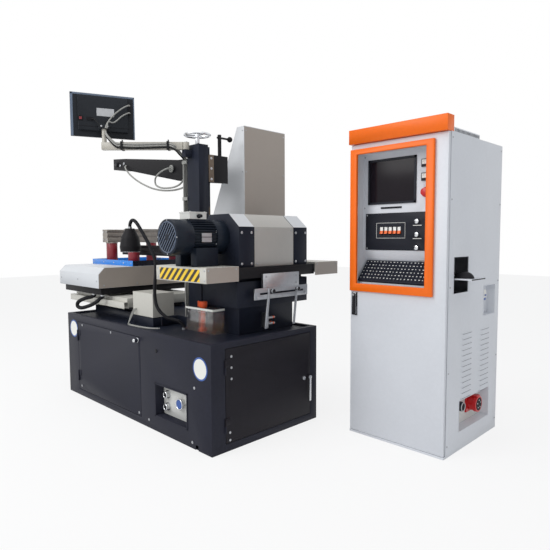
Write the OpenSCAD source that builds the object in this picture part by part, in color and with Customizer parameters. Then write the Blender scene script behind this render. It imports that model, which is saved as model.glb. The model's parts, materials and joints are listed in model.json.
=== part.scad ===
// Fast wire electric discharge machine with its control cabinet.
// Origin: centre of the machine base's underside. +X runs from the table to the wire drum, +Z is up.

/* [Base] */
// Length of the base along X
base_l = 1750; // [1700:10:1800]
// Width of the base along Y
base_w = 850; // [840:5:900]
// Height of the base
base_h = 600; // [580:5:620]
// Sheet of the base
base_wall = 4; // [3:0.5:6]
// Depth of the drip tray in the top
tray_depth = 12; // [8:1:18]
// Width of the tray's rim
rim_w = 28; // [20:1:36]
// Width of the rear door
rear_door_w = 689; // [600:5:700]
// Height of the rear door
rear_door_h = 520; // [480:5:530]
// Width of the side door
side_door_w = 865; // [780:5:875]
// Height of the side door
side_door_h = 500; // [450:5:520]
// Thickness of the flanged doors
door_t = 14; // [10:1:18]

/* [Table] */
// Height of the X rails above the drip tray
rail_top = 92; // [90:1:96]
// Thickness of the saddle
saddle_t = 66; // [60:1:70]
// Length of the saddle's cover channels along X
channel_l = 855; // [800:5:880]
// Height of the cover channels
channel_h = 45; // [38:1:50]
// Size of the table along X
table_l = 650; // [620:5:670]
// Size of the table along Y
table_w = 800; // [780:5:820]
// Height of the table top above the floor
table_top = 955; // [950:1:975]
// Height of the table's sheet sides
tray_side_h = 145; // [120:1:150]
// Chamfer along the operator's side of the table
tray_chamfer = 45; // [30:1:55]
// Sheet of the table tray
tray_wall = 3; // [2:0.5:4]
// Height of the splash guards
guard_h = 40; // [30:1:45]
// Thickness of the splash guards
guard_t = 5; // [3:0.5:6]
// Diameter of the clamp posts
post_d = 85; // [70:1:88]
// Height of the clamp posts
post_h = 175; // [170:1:180]
// Width of a clamp bar
clamp_w = 80; // [70:1:84]
// Height of a clamp bar
clamp_h = 100; // [90:1:105]

/* [Column] */
// Size of the column along X
column_l = 120; // [110:1:125]
// Size of the column along Y
column_w = 73; // [65:1:75]
// Height of the column's top above the floor
column_top = 1740; // [1735:1:1760]
// Width of the upper arm along Y
arm_w = 113; // [90:1:115]
// Depth of the upper arm at the column
arm_root_h = 172; // [150:1:180]
// Depth of the upper arm at its nose
arm_nose_h = 85; // [70:1:95]
// Reach of the upper arm from the column's rear face to its nose
arm_reach = 1293; // [1270:1:1300]
// Diameter of the handwheel
wheel_d = 172; // [150:1:175]
// Diameter of the wire pulleys
pulley_d = 50; // [40:1:52]
// Height of the tapered cover above the floor
tower_top = 1900; // [1850:5:1950]
// Width of the tapered cover
tower_w = 391; // [360:1:395]

/* [Wire drum] */
// Diameter of the wire drum
drum_d = 160; // [140:1:170]
// Length of the wire drum
drum_l = 292; // [270:1:300]
// Diameter of the drum shaft
shaft_d = 30; // [25:1:34]
// Width of the drum housing along X
housing_w = 360; // [350:1:364]
// Height of the drum axis above the floor
drum_axis_z = 1165; // [1160:1:1170]
// Height of the housing above the carriage
housing_h = 310; // [300:1:316]
// Length of the housing's middle along Y
housing_l = 336; // [330:1:340]
// Diameter of the drum motor
motor_d = 200; // [180:1:204]
// Length of the drum motor
motor_l = 360; // [340:1:380]
// Length of the near carriage cover along Y
near_cover_l = 230; // [200:1:240]
// Length of the far carriage cover along Y
far_cover_l = 236; // [200:1:245]
// Height of the carriage covers
cover_h = 85; // [78:1:86]

/* [Monitor] */
// Width of the monitor
monitor_w = 384; // [370:1:400]
// Height of the monitor
monitor_h = 265; // [240:1:280]
// Thickness of the monitor
monitor_t = 45; // [40:1:55]
// Reach of the monitor arm
boom_l = 520; // [500:5:540]
// Height of the monitor arm's bar
boom_h = 45; // [38:1:48]

/* [Cabinet] */
// Width of the cabinet along X
cab_w = 600; // [590:1:610]
// Depth of the cabinet along Y
cab_d = 670; // [650:5:700]
// Height of the cabinet shell
cab_h = 1690; // [1680:1:1700]
// Sheet of the cabinet
cab_wall = 3; // [2:0.5:4]
// Height of the header above the shell
header_h = 80; // [60:1:90]
// How far the header stands out in front
header_out = 24; // [15:1:30]
// Thickness of the flanged front door
front_t = 20; // [15:1:21]
// Width of the door's window
window_w = 432; // [420:1:436]
// Height of the door's window
window_h = 736; // [726:1:740]
// Width of the orange frame's sides
frame_side = 45; // [40:1:48]
// How far the frame stands out
frame_out = 18; // [12:1:22]
// Width of the display
display_w = 290; // [270:1:292]
// Height of the display
display_h = 236; // [220:1:240]
// Depth of the keyboard
keyboard_d = 150; // [140:1:152]
// Number of louvres in a column
louvre_count = 13; // [8:1:13]

/* [Hidden] */
$fn = 48;

// Colours
navy = [0.17, 0.18, 0.23];
dark = [0.09, 0.09, 0.10];
pale = [0.86, 0.87, 0.89];
beige = [0.66, 0.64, 0.60];
steel = [0.72, 0.73, 0.75];
orange = [1.00, 0.42, 0.08];
blue = [0.13, 0.45, 0.85];
red = [0.62, 0.14, 0.16];

// Shared clearances
over = 2;
gap = 0.3;
run = 0.05;

// A block from three spans
module block(xs, ys, zs) translate([xs[0], ys[0], zs[0]])
  cube([xs[1] - xs[0], ys[1] - ys[0], zs[1] - zs[0]]);

module rod_x(r, xs, y, z) translate([xs[0], y, z]) rotate([0, 90, 0]) cylinder(r = r, h = xs[1] - xs[0]);
module rod_y(r, ys, x, z) translate([x, ys[0], z]) rotate([-90, 0, 0]) cylinder(r = r, h = ys[1] - ys[0]);
module rod_z(r, zs, x, y) translate([x, y, zs[0]]) cylinder(r = r, h = zs[1] - zs[0]);

// An outline in X and Z, drawn out along Y
module slab_y(points, ys) translate([0, ys[1], 0]) rotate([90, 0, 0])
  linear_extrude(height = ys[1] - ys[0]) polygon(points);

// An outline in Y and Z, drawn out along X
module slab_x(points, xs) translate([xs[0], 0, 0]) rotate([90, 0, 90])
  linear_extrude(height = xs[1] - xs[0]) polygon(points);

// A hollow tray-like box that is open below
module lid_box(xs, ys, zs, t) difference() {
  block(xs, ys, zs);
  block([xs[0] + t, xs[1] - t], [ys[0] + t, ys[1] - t], [zs[0] - over, zs[1] - t]);
}

// Round tube along a smooth route through chosen points
function unit(v) = v / norm(v);
function curve(a, b, c, d, t) = 0.5 * ((2 * b) + (c - a) * t + (2 * a - 5 * b + 4 * c - d) * t * t
  + (3 * b - a - 3 * c + d) * t * t * t);
function smooth(p, n) = concat([for (i = [0 : len(p) - 2]) for (k = [0 : n - 1])
  curve(p[max(i - 1, 0)], p[i], p[i + 1], p[min(i + 2, len(p) - 1)], k / n)], [p[len(p) - 1]]);
function led(a, p, n, b) = concat([a], smooth(p, n), [b]);
function heading(p, i) = unit(p[min(i + 1, len(p) - 1)] - p[max(i - 1, 0)]);
function side_of(t, n) = unit(n - (n * t) * t);
function sides(p, i, n) = i >= len(p) ? [] :
  let (s = side_of(heading(p, i), n)) concat([s], sides(p, i + 1, s));
function ring(c, t, s, r, m) = [for (k = [0 : m - 1]) c + r * (cos(360 * k / m) * s
  + sin(360 * k / m) * cross(t, s))];
function wall_faces(rings, m, first) = [for (i = [0 : rings - 2]) for (k = [0 : m - 1]) for (h = [0, 1])
  let (a = first + i * m + k, b = first + i * m + (k + 1) % m)
  h == 0 ? [a, a + m, b] : [b, a + m, b + m]];
module tube(p, r, m = 8) {
  s = sides(p, 0, side_of(heading(p, 0), [0.31, 0.52, 0.79]));
  n = len(p);
  polyhedron(
    [for (i = [0 : n - 1]) each ring(p[i], heading(p, i), s[i], r, m)],
    concat(wall_faces(n, m, 0),
      [for (k = [1 : m - 2]) [0, k, k + 1]],
      [for (k = [1 : m - 2]) [(n - 1) * m, (n - 1) * m + k + 1, (n - 1) * m + k]]));
}
// A ribbed tube with its bore: the outer radius swells at every other ring
module ribbed_tube(p, r, rib, bore, m = 8) {
  s = sides(p, 0, side_of(heading(p, 0), [0.31, 0.52, 0.79]));
  n = len(p);
  last = (n - 1) * m;
  polyhedron(
    concat(
      [for (i = [0 : n - 1]) each ring(p[i], heading(p, i), s[i],
        r + (i > 1 && i < n - 2 && i % 2 == 0 ? rib : 0), m)],
      [for (i = [0 : n - 1]) each ring(p[i], heading(p, i), s[i], bore, m)]),
    concat(
      wall_faces(n, m, 0),
      [for (f = wall_faces(n, m, n * m)) [f[0], f[2], f[1]]],
      [for (k = [0 : m - 1]) for (h = [0, 1]) let (a = k, b = (k + 1) % m, c = n * m)
        h == 0 ? [a, b, c + a] : [b, c + b, c + a]],
      [for (k = [0 : m - 1]) for (h = [0, 1]) let (a = last + k, b = last + (k + 1) % m, c = n * m)
        h == 0 ? [a, c + a, b] : [b, c + a, c + b]]));
}

// Base
base_x = [-base_l / 2, base_l / 2];
base_y = [-base_w / 2, base_w / 2];
tray_z = base_h - tray_depth;
seam = 3;
rear_y0 = -327;
rear_y = [rear_y0, rear_y0 + rear_door_w];
rear_z0 = 45;
rear_z = [rear_z0, rear_z0 + rear_door_h];
side_x1 = 165;
side_x = [side_x1 - side_door_w, side_x1];
side_z0 = 48;
side_z = [side_z0, side_z0 + side_door_h];
knuckle_r = 5;
knuckle_l = 40;
knuckle_off = knuckle_r + gap;
leaf_t = 2.5;
leaf_w = 30;
rear_hinge = [base_x[1] + knuckle_off, rear_y[0] - knuckle_off];
side_hinge = [side_x[0] - knuckle_off, base_y[0] - knuckle_off];
hinge_inset = 60;
socket_in = 538;
socket_l = 315;
socket_x = [base_x[1] - socket_in, base_x[1] - socket_in + socket_l];
socket_z = [99, 289];
socket_depth = 60;
notch_in = 145;
notch_x = base_x[1] - notch_in;
notch_w = 26;
notch_h = 28;

module base_knuckles(at, zs, web) for (z = [zs[0] + hinge_inset, zs[1] - hinge_inset - 2 * knuckle_l]) {
  rod_z(knuckle_r, [z, z + knuckle_l - gap], at[0], at[1]);
  block([at[0] - web[0], at[0] + web[1]], [at[1] - web[2], at[1] + web[3]], [z, z + knuckle_l - gap]);
}
module door_knuckles(at, zs) for (z = [zs[0] + hinge_inset, zs[1] - hinge_inset - 2 * knuckle_l])
  rod_z(knuckle_r, [z + knuckle_l, z + 2 * knuckle_l], at[0], at[1]);

module base_cabinet() color(navy) difference() {
  union() {
    difference() {
      block(base_x, base_y, [0, base_h]);
      block([base_x[0] + rim_w, base_x[1] - rim_w], [base_y[0] + rim_w, base_y[1] - rim_w],
        [tray_z, base_h + over]);
      block([base_x[0] + base_wall, base_x[1] - base_wall], [base_y[0] + base_wall,
          base_y[1] - base_wall],
        [base_wall, tray_z - base_wall]);
      block([base_x[1] - base_wall - over, base_x[1] + over], [rear_y[0] - seam, rear_y[1] + seam],
        [rear_z[0] - seam, rear_z[1] + seam]);
      block([side_x[0] - seam, side_x[1] + seam], [base_y[0] - over, base_y[0] + base_wall + over],
        [side_z[0] - seam, side_z[1] + seam]);
    }
    block([socket_x[0] - base_wall, socket_x[1] + base_wall],
      [base_y[0] + base_wall / 2, base_y[0] + socket_depth + base_wall],
      [socket_z[0] - base_wall, socket_z[1] + base_wall]);
    base_knuckles(rear_hinge, rear_z, [knuckle_off + over, 0, knuckle_r, 0]);
    base_knuckles(side_hinge, side_z, [knuckle_r, 0, 0, knuckle_off + over]);
  }
  block(socket_x, [base_y[0] - over, base_y[0] + socket_depth], socket_z);
  block([notch_x, notch_x + notch_w], [base_y[0] - over, base_y[0] + base_wall + over], [-over, notch_h]);
}

plate_t = 3;
plug_r = 17;
plug_h = 22;
plug_in = 49;
plug_x = socket_x[0] + plug_in;
plug_zs = [151, 225];
ring_r = 30;
ring_in = 193;
ring_x = socket_x[0] + ring_in;
ring_z = 200;
module base_sockets() color(steel) {
  back = base_y[0] + socket_depth;
  block(socket_x, [back - plate_t, back], socket_z);
  for (z = plug_zs) rod_y(plug_r, [back - plate_t - plug_h, back - plate_t], plug_x, z);
  rod_y(ring_r, [back - plate_t - plug_h, back - plate_t], ring_x, ring_z);
}

tank_x = [300, 800];
tank_y = [-260, 300];
tank_h = 300;
tank_t = 3;
tank_pump_r = 60;
tank_pump_h = 170;
module coolant_tank() color(steel) {
  difference() {
    block(tank_x, tank_y, [base_wall, base_wall + tank_h]);
    block([tank_x[0] + tank_t, tank_x[1] - tank_t], [tank_y[0] + tank_t, tank_y[1] - tank_t],
      [base_wall + tank_t, base_wall + tank_h - tank_t]);
  }
  rod_z(tank_pump_r, [base_wall + tank_h, base_wall + tank_h + tank_pump_h],
    (tank_x[0] + tank_x[1]) / 2, (tank_y[0] + tank_y[1]) / 2);
}

// A flanged door panel drawn as a shallow tray, with its hinge leaves
module rear_door() color(navy) {
  x1 = base_x[1];
  difference() {
    block([x1 - door_t, x1], rear_y, rear_z);
    block([x1 - door_t - over, x1 - base_wall], [rear_y[0] + base_wall, rear_y[1] - base_wall],
      [rear_z[0] + base_wall, rear_z[1] - base_wall]);
  }
  door_knuckles(rear_hinge, rear_z);
  for (z = [rear_z[0] + hinge_inset, rear_z[1] - hinge_inset - 2 * knuckle_l])
    block([x1, x1 + leaf_t], [rear_hinge[1], rear_y[0] + leaf_w], [z + knuckle_l, z + 2 * knuckle_l]);
  rod_x(handle_boss_r, [x1, x1 + handle_boss_h], handle_y, handle_z);
}

handle_y = 345;
handle_z = 285;
handle_boss_r = 14;
handle_boss_h = 10;
handle_r = 12;
handle_t = 10;
handle_l = 150;
handle_w = 16;
module rear_door_handle() color(steel) {
  x0 = base_x[1] + handle_boss_h + gap;
  rod_x(handle_r, [x0, x0 + handle_t], handle_y, handle_z);
  block([x0 + handle_t / 2, x0 + handle_t], [handle_y - handle_w / 2, handle_y + handle_w / 2],
    [handle_z - handle_l, handle_z]);
}

knob_x = 139;
knob_z = 528;
knob_r = 12;
knob_l = 26;
module side_door() color(navy) {
  y0 = base_y[0];
  difference() {
    block(side_x, [y0, y0 + door_t], side_z);
    block([side_x[0] + base_wall, side_x[1] - base_wall], [y0 + base_wall, y0 + door_t + over],
      [side_z[0] + base_wall, side_z[1] - base_wall]);
  }
  door_knuckles(side_hinge, side_z);
  for (z = [side_z[0] + hinge_inset, side_z[1] - hinge_inset - 2 * knuckle_l])
    block([side_hinge[0], side_x[0] + leaf_w], [y0 - leaf_t, y0], [z + knuckle_l, z + 2 * knuckle_l]);
  rod_y(knob_r, [y0 - knob_l, y0], knob_x, knob_z);
}

tower_x = [0, 400];

// Cast bed with the X rails, their lead screw and the screw's motor cover
bed_x = [-800, 395];
bed_step_x = 130;
bed_step_y = -118;
bed_half_w = 240;
bed_t = 62;
bed_top = tray_z + bed_t;
xrail_y = 190;
xrail_w = 36;
xrail_x = [-800, -130];
xrail_z = tray_z + rail_top;
screw_r = 12;
screw_z = bed_top + screw_r + gap;
motor_box_x = [-122, 122];
motor_box_y = [-300, -140];
motor_box_h = 155;
motor_box_t = 3;
module machine_bed() {
  color(navy) {
    block([bed_x[0], bed_step_x], [-bed_half_w, bed_half_w], [tray_z, bed_top]);
    block([bed_step_x, bed_x[1]], [bed_step_y, bed_half_w], [tray_z, bed_top]);
    for (s = [-1, 1]) block(xrail_x, [s * xrail_y - xrail_w / 2, s * xrail_y + xrail_w / 2],
      [bed_top, xrail_z]);
    block(tower_x, [bed_half_w, base_y[1] - rim_w], [tray_z, bed_top]);
    block([motor_box_x[0], motor_box_x[1]], [motor_box_y[0], -bed_half_w], [tray_z,
        bed_top - motor_box_t]);
  }
  color(pale) lid_box(motor_box_x, motor_box_y, [bed_top, bed_top + motor_box_h], motor_box_t);
}

// Saddle, carried on the X rails
saddle_x = [-1030, -230];
saddle_half_w = 285;
saddle_z0 = xrail_z + gap;
saddle_z = [saddle_z0, saddle_z0 + saddle_t];
channel_x1 = -208;
channel_x = [channel_x1 - channel_l, channel_x1];
channel_w = 35;
channel_drop = 3;
channel_z0 = saddle_z0 - channel_drop;
channel_wall = 3;
yrail_x = [-920, -560];
yrail_w = 36;
yrail_h = 14;
yrail_half_l = 280;
module channel(ys) difference() {
  block(channel_x, ys, [channel_z0, channel_z0 + channel_h]);
  block([channel_x[0] - over, channel_x[1] + over], [ys[0] + channel_wall, ys[1] - channel_wall],
    [channel_z0 - over, channel_z0 + channel_h - channel_wall]);
}
module saddle() {
  color(navy) {
    block(saddle_x, [-saddle_half_w, saddle_half_w], saddle_z);
    for (x = yrail_x) block([x - yrail_w / 2, x + yrail_w / 2], [-yrail_half_l, yrail_half_l],
      [saddle_z[1], saddle_z[1] + yrail_h]);
  }
  color(pale) for (ys = [[-saddle_half_w - channel_w, -saddle_half_w],
      [saddle_half_w, saddle_half_w + channel_w]]) channel(ys);
}

// Table: casting, sheet tray, guards, posts, bars and hose
table_x1 = -410;
table_x = [table_x1 - table_l, table_x1];
table_y = [-table_w / 2, table_w / 2];
carrier_z0 = saddle_z[1] + yrail_h + gap;
tray_side_z0 = table_top - tray_side_h;
carrier_inset = 30;
carrier_wall = 20;
module table_base() color(dark) difference() {
  union() {
    block([table_x[0] + carrier_inset, table_x[1] - carrier_inset],
      [table_y[0] + carrier_inset, table_y[1] - carrier_inset], [carrier_z0, tray_side_z0]);
    block([table_x[0] + 2 * carrier_inset, table_x[1] - 2 * carrier_inset],
      [table_y[0] + 2 * carrier_inset, table_y[1] - 2 * carrier_inset],
      [tray_side_z0, table_top - tray_wall]);
  }
  block([table_x[0] + 2 * carrier_inset + carrier_wall, table_x[1] - 2 * carrier_inset - carrier_wall],
    [table_y[0] + 2 * carrier_inset + carrier_wall, table_y[1] - 2 * carrier_inset - carrier_wall],
    [tray_side_z0, table_top - tray_wall - carrier_wall]);
}

function tray_outline(i) = [
  [table_y[0] + i, tray_side_z0 - (i > 0 ? over : 0)],
  [table_y[0] + i, table_top - tray_chamfer - i / 2],
  [table_y[0] + tray_chamfer + i / 2, table_top - i],
  [table_y[1] - i, table_top - i],
  [table_y[1] - i, tray_side_z0 - (i > 0 ? over : 0)]];
module table_tray() color(pale) difference() {
  slab_x(tray_outline(0), table_x);
  slab_x(tray_outline(tray_wall), [table_x[0] + tray_wall, table_x[1] - tray_wall]);
}

guard_x = [table_x[0] + guard_t, table_x[1] - guard_t];
guard_y = [-130, 370];
module splash_guards() color(blue) difference() {
  block(guard_x, guard_y, [table_top, table_top + guard_h]);
  block([guard_x[0] + guard_t, guard_x[1] - guard_t], [guard_y[0] + guard_t, guard_y[1] - guard_t],
    [table_top - over, table_top + guard_h + over]);
}

post_xs = [-857, -518];
post_ys = [-60, 300];
module clamp_posts() color(red) for (x = post_xs) for (y = post_ys)
  rod_z(post_d / 2, [table_top, table_top + post_h], x, y);

clamp_z0 = table_top + post_h;
clamp_y = [-116, 352];
slot_w = 14;
slot_share = 0.35;
groove_d = 10;
clamp_hole_r = 5.25;
clamp_hole_dy = 120;
clamp_hole_depth = 30;
module clamp_bars() color(beige) for (x = post_xs) difference() {
  block([x - clamp_w / 2, x + clamp_w / 2], clamp_y, [clamp_z0, clamp_z0 + clamp_h]);
  for (s = [-1, 1]) for (z = [slot_share, 2 * slot_share])
    block([x + s * clamp_w / 2 - groove_d / 2, x + s * clamp_w / 2 + groove_d / 2],
      [clamp_y[0] - over, clamp_y[1] + over],
      [clamp_z0 + z * clamp_h, clamp_z0 + z * clamp_h + slot_w]);
  for (s = [-1, 1]) rod_z(clamp_hole_r, [clamp_z0 + clamp_h - clamp_hole_depth,
      clamp_z0 + clamp_h + over], x,
    (clamp_y[0] + clamp_y[1]) / 2 + s * clamp_hole_dy);
}

hose_r = 12;
hose_rib = 2;
hose_bore = 9;
hose_points = [[-585, -350, 746], [-598, -366, 736], [-655, -388, 722], [-740, -395, 694], [-772,
    -396, 668],
  [-752, -396, 650], [-690, -394, 650], [-570, -390, 678], [-482, -382, 712], [-461, -366, 736],
  [-456, -350, 746]];
hose_steps = 6;
hose_ends = [[-585, -350, carrier_z0], [-456, -350, carrier_z0]];
module table_hose() color(dark)
  ribbed_tube(led(hose_ends[0], hose_points, hose_steps, hose_ends[1]), hose_r, hose_rib, hose_bore);

// Column with its guide rail, and the root that carries the lower arm
pulley_y = 57;
lower_half_w = 34;
lower_z = [1030, 1105];
root_y1 = pulley_y + lower_half_w;
column_x1 = 387;
column_x = [column_x1 - column_l, column_x1];
column_y1 = -45;
column_y = [column_y1 - column_w, column_y1];
pedestal_out = 7;
pedestal_z = 1290;
rail_y = [column_y[1], -14];
rail_inset = 24;
rail_z = [950, 1732];
screw_bore = 11;
screw_x = column_x[0] + column_l / 2;
screw_y = column_y[0] + column_w / 2;
screw_len = 420;
module column() color(navy) difference() {
  union() {
    block(column_x, column_y, [bed_top, column_top]);
    block([column_x[0] - pedestal_out, column_x[1] + pedestal_out], [column_y[0], root_y1],
        [bed_top, rail_z[0]]);
    block([column_x[0] - pedestal_out, column_x[1] + pedestal_out], [0, root_y1],
        [rail_z[0] - over, lower_z[1]]);
    block([column_x[0] - pedestal_out, column_x[1] + pedestal_out], [column_y[0], column_y[1]],
      [rail_z[0], pedestal_z]);
    block([column_x[0] + rail_inset, column_x[1] - rail_inset], rail_y, rail_z);
    block(pivot_block_x, [pivot_y - pivot_r, column_y[0]], [pivot_z0, pivot_z0 + pivot_block_h]);
    rod_z(pivot_r, [pivot_z0, pivot_z0 + pivot_block_h], pivot_x, pivot_y);
  }
  rod_z(screw_bore, [column_top - screw_len - over, column_top + over], screw_x, screw_y);
  rod_z(pin_r + run, [pivot_z0 - over, pivot_z0 + pivot_block_h + over], pivot_x, pivot_y);
}

// Handwheel with the vertical screw
hub_r = 14;
hub_lift = 1;
hub_h = 77;
hub_z = [column_top + hub_lift, column_top + hub_lift + hub_h];
rim_r = 8;
wheel_z = 1803;
spoke_r = 6;
spoke_count = 3;
module z_handwheel() color(steel) {
  rod_z(screw_bore - gap, [column_top - screw_len, hub_z[0]], screw_x, screw_y);
  rod_z(hub_r, hub_z, screw_x, screw_y);
  translate([screw_x, screw_y, wheel_z]) {
    rotate_extrude() translate([wheel_d / 2 - rim_r, 0]) circle(r = rim_r);
    for (k = [0 : spoke_count - 1]) rotate([0, 90, k * 360 / spoke_count])
      cylinder(r = spoke_r, h = wheel_d / 2 - rim_r);
  }
}

// Upper arm, its slide and the wire tension post
slide_clear = 3;
slide_y = [column_y1 + slide_clear, 0];
arm_y = [0, arm_w];
arm_x0 = column_x1 - arm_reach;
root_x = 0;
tail_z = [1510, 1510 + arm_root_h];
root_z = [1552, 1694];
knee_x = -716;
knee_z = [1693, 1780];
nose_z = [1711, 1711 + arm_nose_h];
post_x = 360;
post_y = 69;
tension_r = 12;
tension_top = 1820;
ball_r = 18;
ball_y = 155;
cross_z = 1801;
arm_wall = 10;
nose_slot = 18;
pulley_x = -800;
axle_r = 5;
upper_pulley_z = 1735;
lower_pulley_z = 1078;
arm_outline = [[column_x1, tail_z[0]], [column_x1, tail_z[1]], [root_x, root_z[1]], [knee_x, knee_z[1]],
  [arm_x0, nose_z[1]], [arm_x0, nose_z[0]], [knee_x, knee_z[0]], [root_x, root_z[0]]];
arm_hollow = [[column_x1 - arm_wall, tail_z[0] + 2 * arm_wall], [column_x1 - arm_wall,
    tail_z[1] - arm_wall],
  [root_x, root_z[1] - arm_wall], [knee_x, knee_z[1] - arm_wall], [knee_x, knee_z[0] + arm_wall],
  [root_x, root_z[0] + arm_wall]];
module pulley_gap(x, z) {
  block([x - pulley_d / 2 - slot_gap, x + pulley_d / 2 + slot_gap],
    [pulley_y - nose_slot / 2, pulley_y + nose_slot / 2], [z - 2 * pulley_d, z + 2 * pulley_d]);
  rod_y(axle_r + run, [pulley_y - arm_w, pulley_y + arm_w], x, z);
}
slot_gap = 6;
module upper_arm() {
  color(dark) difference() {
    slab_y(arm_outline, arm_y);
    pulley_gap(pulley_x, upper_pulley_z);
    slab_y(arm_hollow, [arm_y[0] + arm_wall, arm_y[1] - arm_wall]);
  }
  color(dark) difference() {
    block(column_x, slide_y, tail_z);
    block([column_x[0] + rail_inset - gap, column_x[1] - rail_inset + gap], [slide_y[0] - over,
        rail_y[1] + gap],
      [tail_z[0] - over, tail_z[1] + over]);
  }
  color(navy) {
    rod_z(tension_r, [arm_post_z, tension_top], post_x, post_y);
    rod_y(tension_r * rod_share, [post_y - ball_r, ball_y], post_x, cross_z);
    translate([post_x, ball_y, cross_z]) sphere(r = ball_r);
  }
}
rod_share = 0.55;
arm_post_z = tail_z[1] - (tail_z[1] - root_z[1]) * (column_x1 - post_x) / (column_x1 - root_x) - over;

module pulley(z) color(steel) difference() {
  union() {
    rod_y(pulley_d / 2, [pulley_y - pulley_half, pulley_y + pulley_half], pulley_x, z);
    rod_y(axle_r, [pulley_y - axle_half, pulley_y + axle_half], pulley_x, z);
  }
  translate([pulley_x, pulley_y, z]) rotate([90, 0, 0]) rotate_extrude()
    translate([pulley_d / 2 + groove_r / 2, 0]) circle(r = groove_r);
}
pulley_half = 6;
groove_r = 4;
axle_half = 30;
module upper_pulley() pulley(upper_pulley_z);
module lower_pulley() pulley(lower_pulley_z);

arm_cable_r = 6;
socket_r = 25;
socket_h = 22;
loop_a = [[-700, -10, 1722], [-690, -16, 1702], [-630, -20, 1655], [-540, -20, 1605], [-430, -20, 1560],
  [-300, -20, 1520], [-160, -20, 1496], [-20, -20, 1490], [90, -20, 1502], [150, -18, 1530], [160,
      -10, 1560]];
loop_a_ends = [[-700, 0, 1722], [160, 0, 1560]];
loop_b = [[-70, -34, 1640], [-96, -42, 1636], [-160, -50, 1616], [-206, -52, 1588], [-216, -52, 1558],
  [-196, -52, 1530], [-120, -52, 1508], [0, -50, 1504], [70, -42, 1520], [90, -24, 1552], [90, -10,
      1580]];
loop_b_ends = [[-70, -socket_h, 1640], [90, 0, 1580]];
loop_steps = 3;
module arm_cables() color(steel) {
  tube(led(loop_a_ends[0], loop_a, loop_steps, loop_a_ends[1]), arm_cable_r);
  tube(led(loop_b_ends[0], loop_b, loop_steps, loop_b_ends[1]), arm_cable_r);
  rod_y(socket_r, [-socket_h, 0], loop_b_ends[0][0], loop_b_ends[0][2]);
}

// Lower arm over the table
lower_x = [-845, column_x[0] - pedestal_out];
module lower_arm() color(dark) difference() {
  block(lower_x, [pulley_y - lower_half_w, pulley_y + lower_half_w], lower_z);
  pulley_gap(pulley_x, lower_pulley_z);
}

// Tapered cover beside the column
tower_y0 = 244;
tower_y = [tower_y0, tower_y0 + tower_w];
tower_face = 70;
tower_knee = 1190;
tower_t = 3;
function tower_outline(i) = [
  [tower_x[0] + i, bed_top - (i > 0 ? over : 0)], [tower_x[0] + i, tower_knee],
  [tower_x[1] - tower_face + i, tower_top - i], [tower_x[1] - i, tower_top - i],
  [tower_x[1] - i, bed_top - (i > 0 ? over : 0)]];
module tower_cover() color(pale) difference() {
  slab_y(tower_outline(0), tower_y);
  slab_y(tower_outline(tower_t), [tower_y[0] + tower_t, tower_y[1] - tower_t]);
}

// Work lamp
lamp_x = -106;
lamp_y = -320;
lamp_z = [1070, 1225];
conduit_r = 11;
conduit_points = [[322, -200, 604], [320, -206, 620], [308, -236, 642], [262, -290, 668], [205,
    -316, 722],
  [182, -320, 790], [182, -320, 860], [194, -320, 940], [192, -320, 1018], [142, -320, 1101],
  [42, -320, 1204], [-26, -320, 1264], [-73, -320, 1278], [-102, -320, 1260], [-106, -320, 1240]];
conduit_ends = [[322, -200, tray_z], [lamp_x, lamp_y, lamp_z[1]]];
conduit_steps = 3;
lamp_r = 68;
lamp_t = 3;
lamp_neck = 30;
mouth_share = 0.93;
crown_share = 0.85;
lamp_shares = [0.22, 0.62];
module lamp_conduit() color(dark)
  tube(led(conduit_ends[0], conduit_points, conduit_steps, conduit_ends[1]), conduit_r);
module lamp_shape(i) rotate_extrude() polygon([
  [0, i > 0 ? -over : 0], [lamp_r * mouth_share - i, i > 0 ? -over : 0],
  [lamp_r - i, (lamp_z[1] - lamp_z[0]) * lamp_shares[0]],
  [lamp_r * crown_share - i, (lamp_z[1] - lamp_z[0]) * lamp_shares[1]], [lamp_neck - i,
      lamp_z[1] - lamp_z[0] - i],
  [0, lamp_z[1] - lamp_z[0] - i]]);
module lamp_head() color(dark) translate([lamp_x, lamp_y, lamp_z[0]]) difference() {
  lamp_shape(0);
  lamp_shape(lamp_t);
}

// Monitor on its swinging arm
pivot_x = 300;
pivot_y = -150;
pivot_r = 18;
pin_r = 8;
pivot_block_x = [pivot_x - pivot_r, pivot_x + pivot_r];
pivot_z0 = 1662;
pivot_block_h = 46;
boom_z0 = pivot_z0 + pivot_block_h + gap;
boom_w = 36;
boom_t = 3;
boom_turn = 224.8;
head_h = 110;
head_r = 14;
module at_pivot() translate([pivot_x, pivot_y, 0]) rotate([0, 0, boom_turn]) children();
module monitor_arm() color(beige) {
  at_pivot() {
    difference() {
      block([pivot_r, boom_l], [-boom_w / 2, boom_w / 2], [boom_z0, boom_z0 + boom_h]);
      block([2 * pivot_r, boom_l - boom_t], [-boom_w / 2 + boom_t, boom_w / 2 - boom_t],
        [boom_z0 + boom_t, boom_z0 + boom_h - boom_t]);
    }
    rod_z(pivot_r + boom_t, [boom_z0, boom_z0 + boom_h], 0, 0);
    rod_z(pin_r, [pivot_z0, boom_z0 + boom_t], 0, 0);
    rod_z(head_r, [boom_z0 + boom_h, boom_z0 + boom_h + head_h], boom_l - head_r, 0);
    for (x = strap_xs) difference() {
      block([x, x + strap_w], [-boom_w / 2 - strap_t, strap_y1 + strap_t],
        [boom_z0 - strap_t, boom_z0 + boom_h + strap_t]);
      block([x - over, x + strap_w + over], [-boom_w / 2, strap_y1], [boom_z0, boom_z0 + boom_h]);
    }
  }
}
strap_xs = [100, 385];
strap_w = 14;
strap_t = 2;
boom_cable_r = 5;
strap_y1 = boom_w / 2 + 2 * boom_cable_r + 2 * run;
boom_cable_zs = [8, 20, 32];
boom_cable_x = [60, 460];
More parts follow.
